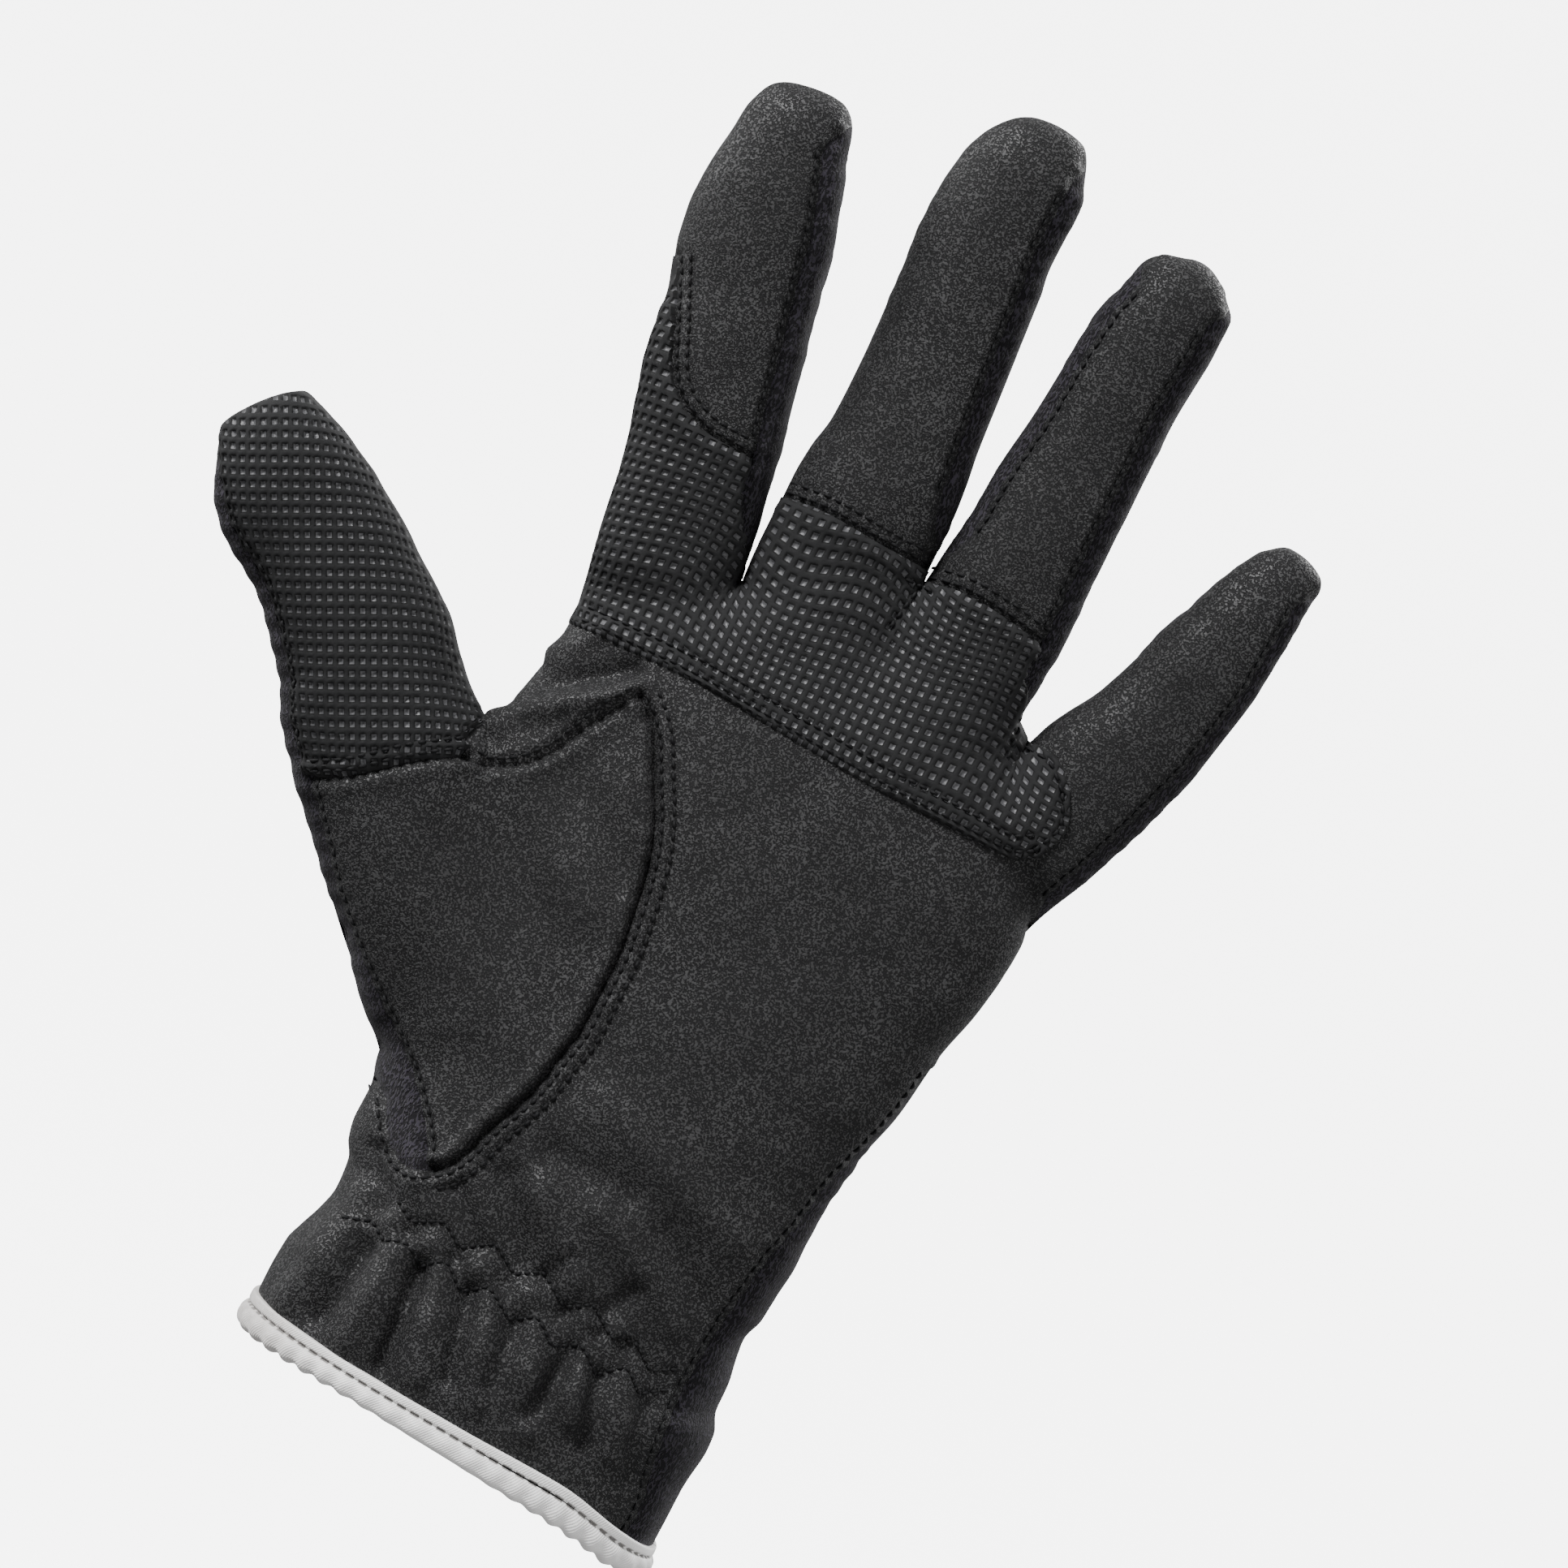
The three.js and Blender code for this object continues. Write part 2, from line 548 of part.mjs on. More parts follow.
// The tape folds round the cuff's edge: its section is a U with a leg inside and a leg outside,
// given by heights above the mouth and distances out from the skin.
function tapeSolid() {
  const [innerFace, innerSeat] = [-wall - seamGap - tapeThickness, -wall - seamGap];
  const [outerSeat, outerFace] = [seamGap, seamGap + tapeThickness];
  const profile = [
    [0, innerFace], [0, outerFace], [tapeRise, outerFace], [tapeRise, outerSeat],
    [tapeThickness, outerSeat], [tapeThickness, innerSeat], [tapeRise, innerSeat], [tapeRise, innerFace],
  ];
  const rings = profile.map(([rise, out]) => palmRing(cuffSection(cuffSections[0], rise), out));
  const sides = rings[0].length;
  const triangles = [];
  for (let i = 0; i < rings.length; i++) {
    const above = (i + 1) % rings.length;
    for (let j = 0; j < sides; j++) {
      const next = (j + 1) % sides;
      const [a, b] = [i * sides + j, i * sides + next];
      const [c, d] = [above * sides + j, above * sides + next];
      triangles.push(a, b, d, a, d, c);
    }
  }
  return solidOf(rings.flat().flatMap((point) => point.toArray()), triangles);
}
pieces.hem_tape = tapeSolid();

const leather = { color: 0x2b2b2d, roughness: 0.55, metalness: 0 };
const grip = { color: 0x29292c, roughness: 0.6, metalness: 0 };
const knit = { color: 0x1f1c22, roughness: 0.95, metalness: 0 };
const tape = { color: 0xe6e3df, roughness: 0.45, metalness: 0 };
const finishes = {
  thumb_grip_front: grip,
  knuckle_patch: grip,
  thumb_gusset: leather,
  thumb_base: leather,
  palm: leather,
  index_front: leather,
  middle_front: leather,
  ring_front: leather,
  fork_index_middle: knit,
  fork_middle_ring: knit,
  fork_ring_little: knit,
  thumb_back: knit,
  hand_back: knit,
  hem_tape: tape,
};

function geometryOf(solid) {
  const result = solid.getMesh();
  const geometry = new THREE.BufferGeometry();
  geometry.setAttribute('position', new THREE.BufferAttribute(result.vertProperties, 3));
  geometry.setIndex(new THREE.BufferAttribute(result.triVerts, 1));
  return geometry;
}

// A panel's one body, with its vertices moved to a lattice, so that close ones become one.
function settled(solid) {
  const geometry = geometryOf(largest(solid));
  const snapped = geometry.attributes.position.array.map((value) => Math.round(value / lattice) * lattice);
  geometry.setAttribute('position', new THREE.BufferAttribute(snapped, 3));
  return largest(solidFrom(geometry, lattice / 4));
}

function meshOf(name, solid) {
  const mesh = new THREE.Mesh(geometryOf(solid), new THREE.MeshStandardMaterial(finishes[name]));
  mesh.name = name;
  return mesh;
}

const glove = new THREE.Group();
for (const [name, solid] of Object.entries(pieces)) {
  glove.add(meshOf(name, settled(solid)));
}

export default glove;
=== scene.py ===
"""A left-hand riding glove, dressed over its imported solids: leather palm, rubber grip net, knit back,
bound and gathered cuff, and the stitching that holds them together."""
import math

import bmesh
import bpy
import numpy as np
from mathutils import Matrix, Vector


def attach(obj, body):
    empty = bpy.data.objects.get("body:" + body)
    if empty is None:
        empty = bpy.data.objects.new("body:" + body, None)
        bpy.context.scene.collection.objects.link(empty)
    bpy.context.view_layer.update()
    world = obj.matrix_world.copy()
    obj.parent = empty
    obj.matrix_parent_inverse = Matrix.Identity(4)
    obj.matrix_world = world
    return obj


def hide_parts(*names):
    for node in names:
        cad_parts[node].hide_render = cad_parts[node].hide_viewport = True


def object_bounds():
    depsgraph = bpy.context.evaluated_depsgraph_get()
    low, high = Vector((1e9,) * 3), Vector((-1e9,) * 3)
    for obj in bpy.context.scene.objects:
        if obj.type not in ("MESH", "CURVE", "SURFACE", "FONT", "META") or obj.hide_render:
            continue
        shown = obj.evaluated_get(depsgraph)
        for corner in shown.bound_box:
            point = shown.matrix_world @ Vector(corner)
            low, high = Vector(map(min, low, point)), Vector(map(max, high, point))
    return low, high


bl_info = {
    "name": "Riding Glove",
    "version": (1, 0, 0),
    "blender": (4, 5, 0),
    "location": "3D View > Sidebar > Glove",
    "description": "Dresses a riding glove in leather, grip net, knit, cuff tape and stitching",
    "category": "Add Mesh",
}

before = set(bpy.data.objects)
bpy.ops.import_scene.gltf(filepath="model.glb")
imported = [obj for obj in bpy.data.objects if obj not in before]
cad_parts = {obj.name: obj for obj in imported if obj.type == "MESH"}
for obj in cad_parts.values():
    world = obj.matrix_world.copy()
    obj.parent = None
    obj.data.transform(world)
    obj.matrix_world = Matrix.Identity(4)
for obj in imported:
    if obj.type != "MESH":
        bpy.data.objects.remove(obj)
CAD_LOW, CAD_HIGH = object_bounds()

# All tables below are in millimetres: x across the palm with the thumb at -x, z from the cuff to the
# fingertips. TABLE_HEIGHT is the solids' height in those millimetres, and UNIT turns a table's
# millimetre into the frame's metres.
TABLE_HEIGHT = 236.38
UNIT = (CAD_HIGH.z - CAD_LOW.z) / TABLE_HEIGHT
PALM_SIDE, BACK_SIDE = -1, 1
# The powers of the digits' superellipses and of the p-norm that blends them with the palm.
ROUNDING, BLENDING = 2.35, 5.0
# Edges that fold by more than SHARP shade as creases. A line's turn of more than KINK is a corner.
SHARP, KINK = math.radians(62), 0.2


# Settings


def length(name, description, millimetres):
    """A size that the user can change, kept in metres."""
    return bpy.props.FloatProperty(
        name=name, description=description, default=millimetres * UNIT, min=0,
        unit="LENGTH", subtype="DISTANCE", precision=5,
    )


def colour(name, description, default):
    """A colour that the user can change, as linear red, green, blue and alpha."""
    return bpy.props.FloatVectorProperty(
        name=name, description=description, default=(*default, 1), size=4, min=0, max=1,
        subtype="COLOR",
    )


class GloveSizes(bpy.types.PropertyGroup):
    """Sizes of the walls, seams and stitches"""

    wall: length("Wall", "Thickness of leather and knit", 1.2)
    patch_rise: length("Patch rise", "How far the grip patch stands above the palm", 1.0)
    well_depth: length("Well depth", "Depth of the dents in the grip net", 0.5)
    leather_cell: length("Leather cell", "Mesh spacing of the leather panels", 0.62)
    knit_cell: length("Knit cell", "Mesh spacing of the knit panels", 1.0)
    grip_cell: length("Grip cell", "Mesh spacing of the grip net", 0.34)
    stitch_pitch: length("Stitch pitch", "Distance from one stitch to the next", 1.9)
    stitch: length("Stitch", "Length of one stitch", 1.4)
    thread: length("Thread", "Thickness of the sewing thread", 0.58)


class GloveColours(bpy.types.PropertyGroup):
    """Colours of the leather, net, knit, tape, thread and floor"""

    leather: colour("Leather", "Face of the synthetic leather", (0.037, 0.0368, 0.0378))
    pit: colour("Pit", "Small pits in the leather", (0.003, 0.003, 0.0035))
    grip: colour("Grip", "Raised net of the grip", (0.0075, 0.0076, 0.0082))
    # The well colour is a painted reflection: the glossy dent bottoms painted light grey.
    well: colour("Well", "Glossy bottoms of the net's dents", (0.062, 0.062, 0.066))
    knit: colour("Knit", "Ground of the knit back", (0.004, 0.0034, 0.005))
    fleck: colour("Fleck", "Lighter loops of the knit", (0.042, 0.037, 0.05))
    tape: colour("Tape", "Satin tape round the cuff", (0.93, 0.92, 0.91))
    tape_shade: colour("Tape shade", "Worn end of the tape", (0.40, 0.37, 0.35))
    # The tape shade is the grey that the tape turns towards its thumb end on the palm's side. Darkened,
    # it is also the colour of the dashes in the tape's groove.
    thread: colour("Thread", "Sewing thread", (0.0045, 0.0045, 0.005))
    floor: colour("Floor", "Pale floor and backdrop", (0.80, 0.80, 0.80))


def sizes():
    """The sizes in the tables' millimetres, by name."""
    held = bpy.context.scene.glove_sizes
    return {name: getattr(held, name) / UNIT for name in GloveSizes.__annotations__}


def colours():
    """The colours as plain tuples, by name."""
    held = bpy.context.scene.glove_colours
    return {name: tuple(getattr(held, name)) for name in GloveColours.__annotations__}


# Curves


def smoothstep(value, low, high):
    """0 below low, 1 above high and 3s^2 - 2s^3 between, where s is the share of the way."""
    share = np.clip((value - low) / (high - low), 0, 1)
    return share * share * (3 - 2 * share)


def monotone(xs, ys, samples=600):
    """The cubic through a table's points whose slope at each is the harmonic mean of the chords beside
    it, or 0 where they turn, so it doesn't overshoot. Returned as a function of x."""
    xs, ys = np.asarray(xs, float), np.asarray(ys, float)
    gaps, chords = np.diff(xs), np.diff(ys) / np.diff(xs)
    slopes = np.zeros_like(ys)
    product = chords[1:] * chords[:-1]
    total = np.where(product > 0, chords[1:] + chords[:-1], 1)
    slopes[1:-1] = np.where(product > 0, 2 * product / total, 0)
    slopes[0], slopes[-1] = chords[0], chords[-1]
    fine = np.linspace(xs[0], xs[-1], samples)
    cell = np.clip(np.searchsorted(xs, fine, "right") - 1, 0, len(gaps) - 1)
    s, gap = (fine - xs[cell]) / gaps[cell], gaps[cell]
    values = (
        (1 + 2 * s) * (1 - s) ** 2 * ys[cell] + s * (1 - s) ** 2 * gap * slopes[cell]
        + s * s * (3 - 2 * s) * ys[cell + 1] + s * s * (s - 1) * gap * slopes[cell + 1]
    )
    return lambda x: np.interp(x, fine, values)


def arc(line):
    """Distance along a line of (x, z) points, from its start to each point."""
    return np.concatenate([[0], np.cumsum(np.hypot(*np.diff(line, axis=0).T))])


def curve(*points, samples=40):
    """A smooth line through (x, z) points: each coordinate is a monotone cubic of chord length."""
    line = np.array(points, float)
    run = arc(line)
    fine = np.linspace(0, run[-1], samples)
    return np.stack([monotone(run, line[:, 0])(fine), monotone(run, line[:, 1])(fine)], -1)


def join(*lines):
    """Lines set end to end as one line."""
    return np.vstack([np.atleast_2d(line) for line in lines])


def walk(line, shares):
    """Points at the given shares of a line's length."""
    run = arc(line)
    at = np.asarray(shares) * run[-1]
    return np.stack([np.interp(at, run, line[:, 0]), np.interp(at, run, line[:, 1])], -1)


def pinned(line, shares):
    """Points at the given shares of a line's length, the nearest of them moved onto each corner, so
    that two pieces that share the line turn at the same place."""
    points, run, step = walk(line, shares), arc(line), np.diff(line, axis=0)
    heading = np.unwrap(np.arctan2(step[:, 1], step[:, 0]))
    for corner in np.flatnonzero(np.abs(np.diff(heading)) > KINK) + 1:
        near = np.abs(shares * run[-1] - run[corner]).argmin()
        if 0 < near < len(shares) - 1:
            points[near] = line[corner]
    return points


def beside(line, offset):
    """The line moved to its left by offset, at right angles to its direction at each point."""
    step = np.gradient(line, axis=0)
    step /= np.maximum(np.linalg.norm(step, axis=1, keepdims=True), 1e-9)
    return line + offset * np.stack([-step[:, 1], step[:, 0]], -1)


def nearest(line, x, z):
    """Distance from each point to a line, and how far along the line the nearest place is."""
    start, step = line[:-1], np.diff(line, axis=0)
    square = np.maximum((step ** 2).sum(1), 1e-12)
    dx, dz = x[:, None] - start[:, 0], z[:, None] - start[:, 1]
    share = np.clip((dx * step[:, 0] + dz * step[:, 1]) / square, 0, 1)
    gap = np.hypot(dx - share * step[:, 0], dz - share * step[:, 1])
    pick = (np.arange(len(x)), gap.argmin(1))
    run = arc(line)[:-1] + share * np.sqrt(square)
    return gap[pick], run[pick]


def cloth_noise(x, z, size, seed):
    """Smooth random heights from -1 to 1: random numbers on a square lattice of the given size,
    blended between its corners by smoothstep."""
    table = np.random.default_rng(seed).uniform(-1, 1, (64, 64))
    column, row = np.floor(x / size).astype(int), np.floor(z / size).astype(int)
    right, up = smoothstep(x / size - column, 0, 1), smoothstep(z / size - row, 0, 1)
    corner = lambda a, b: table[(column + a) % 64, (row + b) % 64]
    low = corner(0, 0) * (1 - right) + corner(1, 0) * right
    high = corner(0, 1) * (1 - right) + corner(1, 1) * right
    return low * (1 - up) + high * up


# The hand's form


class Digit:
    """A finger or the thumb: a tube about a leaning axis. rows hold along (share of length), aside
    (the axis's sideways drift) and breadth. depths hold along and share of the full depth."""

    def __init__(self, root, lean, reach, depth, rows, depths):
        self.root, self.reach = root, reach
        self.sine, self.cosine = math.sin(math.radians(lean)), math.cos(math.radians(lean))
        along, aside, breadth = np.array(rows).T
        self.aside = monotone(along, aside)
        self.half_squared = monotone([*along, 1], [*(breadth / 2) ** 2, 0])
        along, share = np.array(depths).T
        self.deep_squared = monotone([*along, 1], [*(share * depth / 2) ** 2, 0])

    def along(self, x, z):
        """Share of the digit's length at (x, z)."""
        return ((x - self.root[0]) * self.sine + (z - self.root[1]) * self.cosine) / self.reach

    def half_depth(self, x, z):
        """Half depth at (x, z): the section is a superellipse, |a|^n + |y|^n = 1 in shares of its
        half sizes. It fades in over the root, and is 0 outside the digit."""
        side = (x - self.root[0]) * self.cosine - (z - self.root[1]) * self.sine
        along = self.along(x, z)
        half = np.maximum(np.sqrt(self.half_squared(along)), 1e-6)
        out = np.minimum(np.abs(side - self.aside(along)) / half, 1)
        deep = np.sqrt(self.deep_squared(along)) * smoothstep(along, -0.05, 0.15)
        return deep * (1 - out ** ROUNDING) ** (1 / ROUNDING)

    def edge(self, sign, along, inset=0.0):
        """Points on the left (-1) or right (1) outline, moved in by inset."""
        along = np.asarray(along, float)
        side = self.aside(along) + sign * (np.sqrt(self.half_squared(along)) - inset)
        far = along * self.reach
        return np.stack([
            self.root[0] + far * self.sine + side * self.cosine,
            self.root[1] + far * self.cosine - side * self.sine,
        ], -1)

    def tip(self, left_from, right_to):
        """The outline from the left side over the tip to the right side."""
        s = np.linspace(0, 1, 300)
        up, down = 1 - (1 - left_from) * (1 - s) ** 2, 1 - (1 - right_to) * s ** 2
        return join(self.edge(-1, up), self.edge(1, down)[1:])


DIGITS = {
    "index": Digit((-29.03, 127.95), -9.4, 94.6, 21.5, [
        (-0.1, 0, 23.5), (0, 0, 23.5), (0.25, 0.1, 24), (0.35, -0.2, 24.3), (0.4, -0.4, 24.8),
        (0.5, -0.9, 24.7), (0.6, -1.2, 24.3), (0.65, -1.7, 24.8), (0.7, -2.2, 24.9),
        (0.75, -2.2, 24.7), (0.8, -2.2, 23.3), (0.85, -2, 21.5), (0.9, -1.7, 19.1),
        (0.94, -1.3, 17.6), (0.97, -1, 15.1), (0.99, -1, 11.4),
    ], [(0, 1), (0.4, 1), (0.7, 0.96), (0.78, 0.92), (0.86, 0.84), (0.92, 0.74), (0.965, 0.58),
        (0.99, 0.36)]),
    "middle": Digit((-6.0, 127.95), -1.1, 105.6, 21.5, [
        (-0.1, 0, 24.7), (0, 0, 24.7), (0.25, 0.1, 26.6), (0.35, 0, 26.5), (0.4, 0.2, 25.9),
        (0.45, 0.5, 24.5), (0.5, 0.3, 23.8), (0.6, -0.1, 23.1), (0.7, -0.6, 22.6),
        (0.75, -1, 22.6), (0.8, -1.4, 22), (0.85, -1.3, 21.8), (0.9, -0.8, 21.1),
        (0.94, -0.6, 18.2), (0.97, 0, 14.7), (0.99, 0.6, 10.4),
    ], [(0, 1), (0.34, 1), (0.5, 0.98), (0.74, 0.93), (0.9, 0.8), (0.945, 0.68), (0.975, 0.52),
        (0.993, 0.32)]),
    "ring": Digit((17.0, 127.95), 3.4, 96.8, 20.5, [
        (-0.1, 0, 24.2), (0, 0, 24.2), (0.25, 0.2, 24.9), (0.35, 0.4, 24.2), (0.45, 0.4, 22.7),
        (0.55, 0, 22.3), (0.65, 0, 21), (0.75, -0.1, 20.1), (0.85, 0.3, 19.6), (0.9, 0.7, 18.1),
        (0.94, 0.8, 17.3), (0.97, 0.2, 13.2), (0.99, 0.9, 6.7),
    ], [(0, 1), (0.25, 1), (0.45, 0.99), (0.55, 0.98), (0.76, 0.92), (0.86, 0.86), (0.92, 0.76),
        (0.96, 0.6), (0.988, 0.36)]),
    "little": Digit((38.04, 118.05), 16.6, 75.1, 18.5, [
        (-0.1, -0.9, 21.1), (0, -0.9, 21.1), (0.2, 0, 22.6), (0.35, 0.5, 22.8), (0.4, 0.9, 22.2),
        (0.5, 1.8, 20.7), (0.6, 1.7, 19.4), (0.7, 1.4, 18.4), (0.75, 1.3, 17), (0.8, 0.9, 16.1),
        (0.85, 0.6, 14.9), (0.9, 0.3, 13.2), (0.94, 0.3, 11.8), (0.97, 0.8, 10), (0.99, 0.9, 7.4),
    ], [(0, 1.1), (0.2, 1.05), (0.35, 1), (0.46, 0.98), (0.68, 0.92), (0.78, 0.87), (0.87, 0.78),
        (0.93, 0.66), (0.968, 0.52), (0.99, 0.34)]),
    "thumb": Digit((-14.0, 52.05), -48.9, 120.3, 23, [
        (0, 0, 26), (0.1, 1, 32.2), (0.2, 1.6, 34.6), (0.3, 2.8, 33), (0.4, 3.4, 33.5),
        (0.5, 3.9, 32.2), (0.55, 4, 30.9), (0.6, 4.9, 30.6), (0.65, 6.5, 28.8), (0.7, 7, 27.2),
        (0.75, 7.1, 26), (0.85, 5.6, 25.8), (0.9, 5.2, 23.7), (0.94, 5.5, 20.3),
        (0.97, 5.9, 16.9), (0.99, 6, 14.3),
    ], [(0, 1.05), (0.1, 1.3), (0.2, 1.42), (0.4, 1.3), (0.5, 1.18), (0.65, 1.02), (0.72, 0.97),
        (0.8, 0.92), (0.88, 0.84), (0.935, 0.72), (0.97, 0.58), (0.992, 0.4)]),
}
INDEX, MIDDLE, RING, LITTLE, THUMB = DIGITS.values()

# The palm's outline: z, left edge, right edge. Above the knuckles it tapers inside the fingers.
PALM_EDGES = np.array([
    (-12, -37.4, 38.6), (10, -37.4, 38.6), (17, -37, 39.5), (20, -36, 39.3), (24, -34.5, 37.8),
    (28, -33.7, 37.7), (33, -34.1, 36.9), (36, -35.6, 36.6), (40, -36.3, 37.8), (45, -36.2, 38.1),
    (50, -37.4, 38.7), (60, -38.5, 38.4), (70, -40, 39.8), (80, -42, 42.4), (90, -44.5, 43.8),
    (100, -46, 46.3), (104, -46.2, 47), (106, -45.9, 47.3), (108, -44.7, 47.5),
    (110, -43.6, 47.7), (113, -43.3, 47.8), (117, -42.5, 47), (120, -41.9, 46),
    (125, -41.5, 44), (130, -41.3, 42), (140, -41, 36), (165, -38, 30),
])
# The palm's half depth by z, and the line where it ends between the fingers, z by x.
PALM_DEPTHS = np.array([
    (-12, 25), (17, 25), (23, 23.2), (28.5, 22), (40, 22), (51, 21.6), (61.5, 21.1), (75, 20.05),
    (90, 18.7), (103.5, 17.7), (112.5, 17), (123, 15.8), (133.5, 13.45), (141, 11.05),
    (145.5, 9.5), (160, 8.5),
])
PALM_TOP = np.array([
    (-50, 122), (-45, 132), (-40, 140), (-31, 143.5), (-20, 145.3), (-7, 154), (7, 160.2),
    (20, 154), (33, 143.6), (42, 134), (50, 122),
])
palm_left = monotone(PALM_EDGES[:, 0], PALM_EDGES[:, 1])
palm_right = monotone(PALM_EDGES[:, 0], PALM_EDGES[:, 2])
palm_deep = monotone(*PALM_DEPTHS.T)
palm_top = monotone(*PALM_TOP.T)
PALM_ROUNDING, WEB_FALL = 2.5, 14.0
FINGER_CURL, THUMB_FORWARD = 7.0, 14.0
KNUCKLES_Z, MIDDLE_REACH = 128.0, 105.6


def palm_half_depth(x, z):
    """The palm's half depth: a superellipse between its edges, rounded off over the web fall."""
    left, right = palm_left(z), palm_right(z)
    out = np.minimum(np.abs(2 * x - left - right) / (right - left), 1)
    fall = np.clip((z - palm_top(x) + WEB_FALL) / WEB_FALL, 0, 1)
    rounded = (1 - out ** PALM_ROUNDING) ** (1 / PALM_ROUNDING)
    return palm_deep(z) * rounded * (1 - fall ** ROUNDING) ** (1 / ROUNDING)


def half_depth(x, z):
    """The glove's half depth: the p-norm of the palm's and each digit's."""
    total = palm_half_depth(x, z) ** BLENDING
    for digit in DIGITS.values():
        total = total + digit.half_depth(x, z) ** BLENDING
    return total ** (1 / BLENDING)


def closed(deep):
    """The half depth drawn to 0 from 3 mm down to 0.8 mm, where it falls as a root towards the outline,
    so that the palm's side and the back share one edge."""
    return deep * smoothstep(deep, 0.8, 3.0)


def middle(x, z):
    """y of the surface halfway between palm and back: the fingers curl forward in a parabola and
    the thumb comes forward evenly along its length."""
    curl = np.maximum(0, (z - KNUCKLES_Z) / MIDDLE_REACH)
    on_thumb = smoothstep(-x, 24.6, 50)
    clear = np.where(x < -54.6, 1, 1 - smoothstep(z, 108, 127.5)) * (1 - smoothstep(z, 142.5, 150))
    forward = np.maximum(0, THUMB.along(x, z)) * on_thumb * clear
    return -FINGER_CURL * curl * curl - THUMB_FORWARD * forward


def bare_skin(x, z, side):
    """Points of the smooth skin above (x, z) on one side, and the outward directions there. The
    skin is where |y - middle|^n - half_depth^n is 0, and its gradient points outward."""
    step = 0.1
    deep = half_depth(x, z)
    power = lambda a, b: half_depth(a, b) ** ROUNDING
    slopes = [
        ((f(x + step, z) - f(x - step, z)) / (2 * step), (f(x, z + step) - f(x, z - step)) / (2 * step))
        for f in (power, middle)
    ]
    out = ROUNDING * deep ** (ROUNDING - 1) * side
    deep = closed(deep)
    (deep_x, deep_z), (middle_x, middle_z) = slopes
    normal = np.stack([-deep_x - out * middle_x, out, -deep_z - out * middle_z], -1)
    normal /= np.maximum(np.linalg.norm(normal, axis=-1, keepdims=True), 1e-9)
    return np.stack([x, middle(x, z) + side * deep, z], -1), normal


# Seams and edges

# Shares of a digit's length: where its tip's line starts and ends, where the knuckles' line crosses it,
# where its forks start, and where the seams of the fronts meet its sides.
TIP_FROM, TIP_TO = 0.93, 0.965
INDEX_KNUCKLE, LITTLE_KNUCKLE = 0.16, 0.2
INDEX_FORK, MIDDLE_FORK, RING_FORK, LITTLE_FORK, THUMB_FORK = 0.175, 0.165, 0.19, 0.31, 0.525
INDEX_SEAM_FROM, INDEX_SEAM_TO = 0.66, 0.366
MIDDLE_SEAM_FROM, MIDDLE_SEAM_TO = 0.31, 0.305
RING_SEAM_FROM, RING_SEAM_TO = 0.31, 0.315
THUMB_JOIN, THUMB_SIDE = 0.5, 0.505
# How far a fork's front and back edges lie from the outline, and where along it they start.
FORK_EDGES = {
    ("index", 1): (3.7, 2.5, 0.17, 0.32), ("middle", -1): (0, 2.5, 0.16, 0.3),
    ("middle", 1): (3, 2.5, 0.305, 0.42), ("ring", -1): (1.5, 2.5, 0.31, 0.42),
    ("ring", 1): (3, 2.5, 0.19, 0.27), ("little", -1): (0, 2.5, 0.31, 0.42),
    ("little", 1): (2, 0, 0.005, 0.12), ("thumb", -1): (1.7, 0, 0.5, 0.51),
}


def inset(digit, sign, side, along):
    """Distance of a fork's edge from the outline at a share of the digit's length."""
    front, back, start, full = FORK_EDGES.get((digit, sign), (0, 0, 0, 1))
    width = front if side == PALM_SIDE else back
    return width * smoothstep(along, start, full) * (1 - smoothstep(along, 0.9, TIP_TO))


def fork_edge(digit, sign, side, start, end=TIP_TO, samples=400):
    """The line of a fork's front or back edge along a digit."""
    along = np.linspace(start, end, samples)
    return DIGITS[digit].edge(sign, along, inset(digit, sign, side, along))


def front_edge(digit, sign, *span):
    """The line of a fork's front edge, from a start to an end share in a number of samples."""
    return fork_edge(digit, sign, PALM_SIDE, *span)


def rear_edge(digit, sign, *span):
    """The line of a fork's back edge, from a start to an end share in a number of samples."""
    return fork_edge(digit, sign, BACK_SIDE, *span)


def outline(digit, sign, start, end):
    """The digit's outline between two shares of its length."""
    return DIGITS[digit].edge(sign, np.linspace(start, end, 400))


def palm_edge(sign, low, high):
    """The palm's outline between two heights."""
    z = np.linspace(low, high, 400)
    return np.stack([palm_left(z) if sign < 0 else palm_right(z), z], -1)


def leaving(digit, sign, low, high):
    """The share of a digit's length where its outline comes out past the palm's."""
    along = np.linspace(low, high, 4000)
    x, z = DIGITS[digit].edge(sign, along).T
    past = sign * (x - (palm_left(z) if sign < 0 else palm_right(z)))
    return float(along[(past > 0).argmax()])


INDEX_ROOT, LITTLE_ROOT = leaving("index", -1, 0, 0.1), leaving("little", 1, -0.02, 0.06)
THUMB_ROOT = leaving("thumb", -1, 0.05, 0.3)
INDEX_ROOT_Z = float(INDEX.edge(-1, INDEX_ROOT)[1])
LITTLE_ROOT_Z = float(LITTLE.edge(1, LITTLE_ROOT)[1])
THUMB_ROOT_Z = float(THUMB.edge(-1, THUMB_ROOT)[1])


def across(digit, along):
    """A line across a digit from its left outline to its right."""
    left, right = DIGITS[digit].edge(-1, along), DIGITS[digit].edge(1, along)
    return left + np.linspace(0, 1, 30)[:, None] * (right - left)


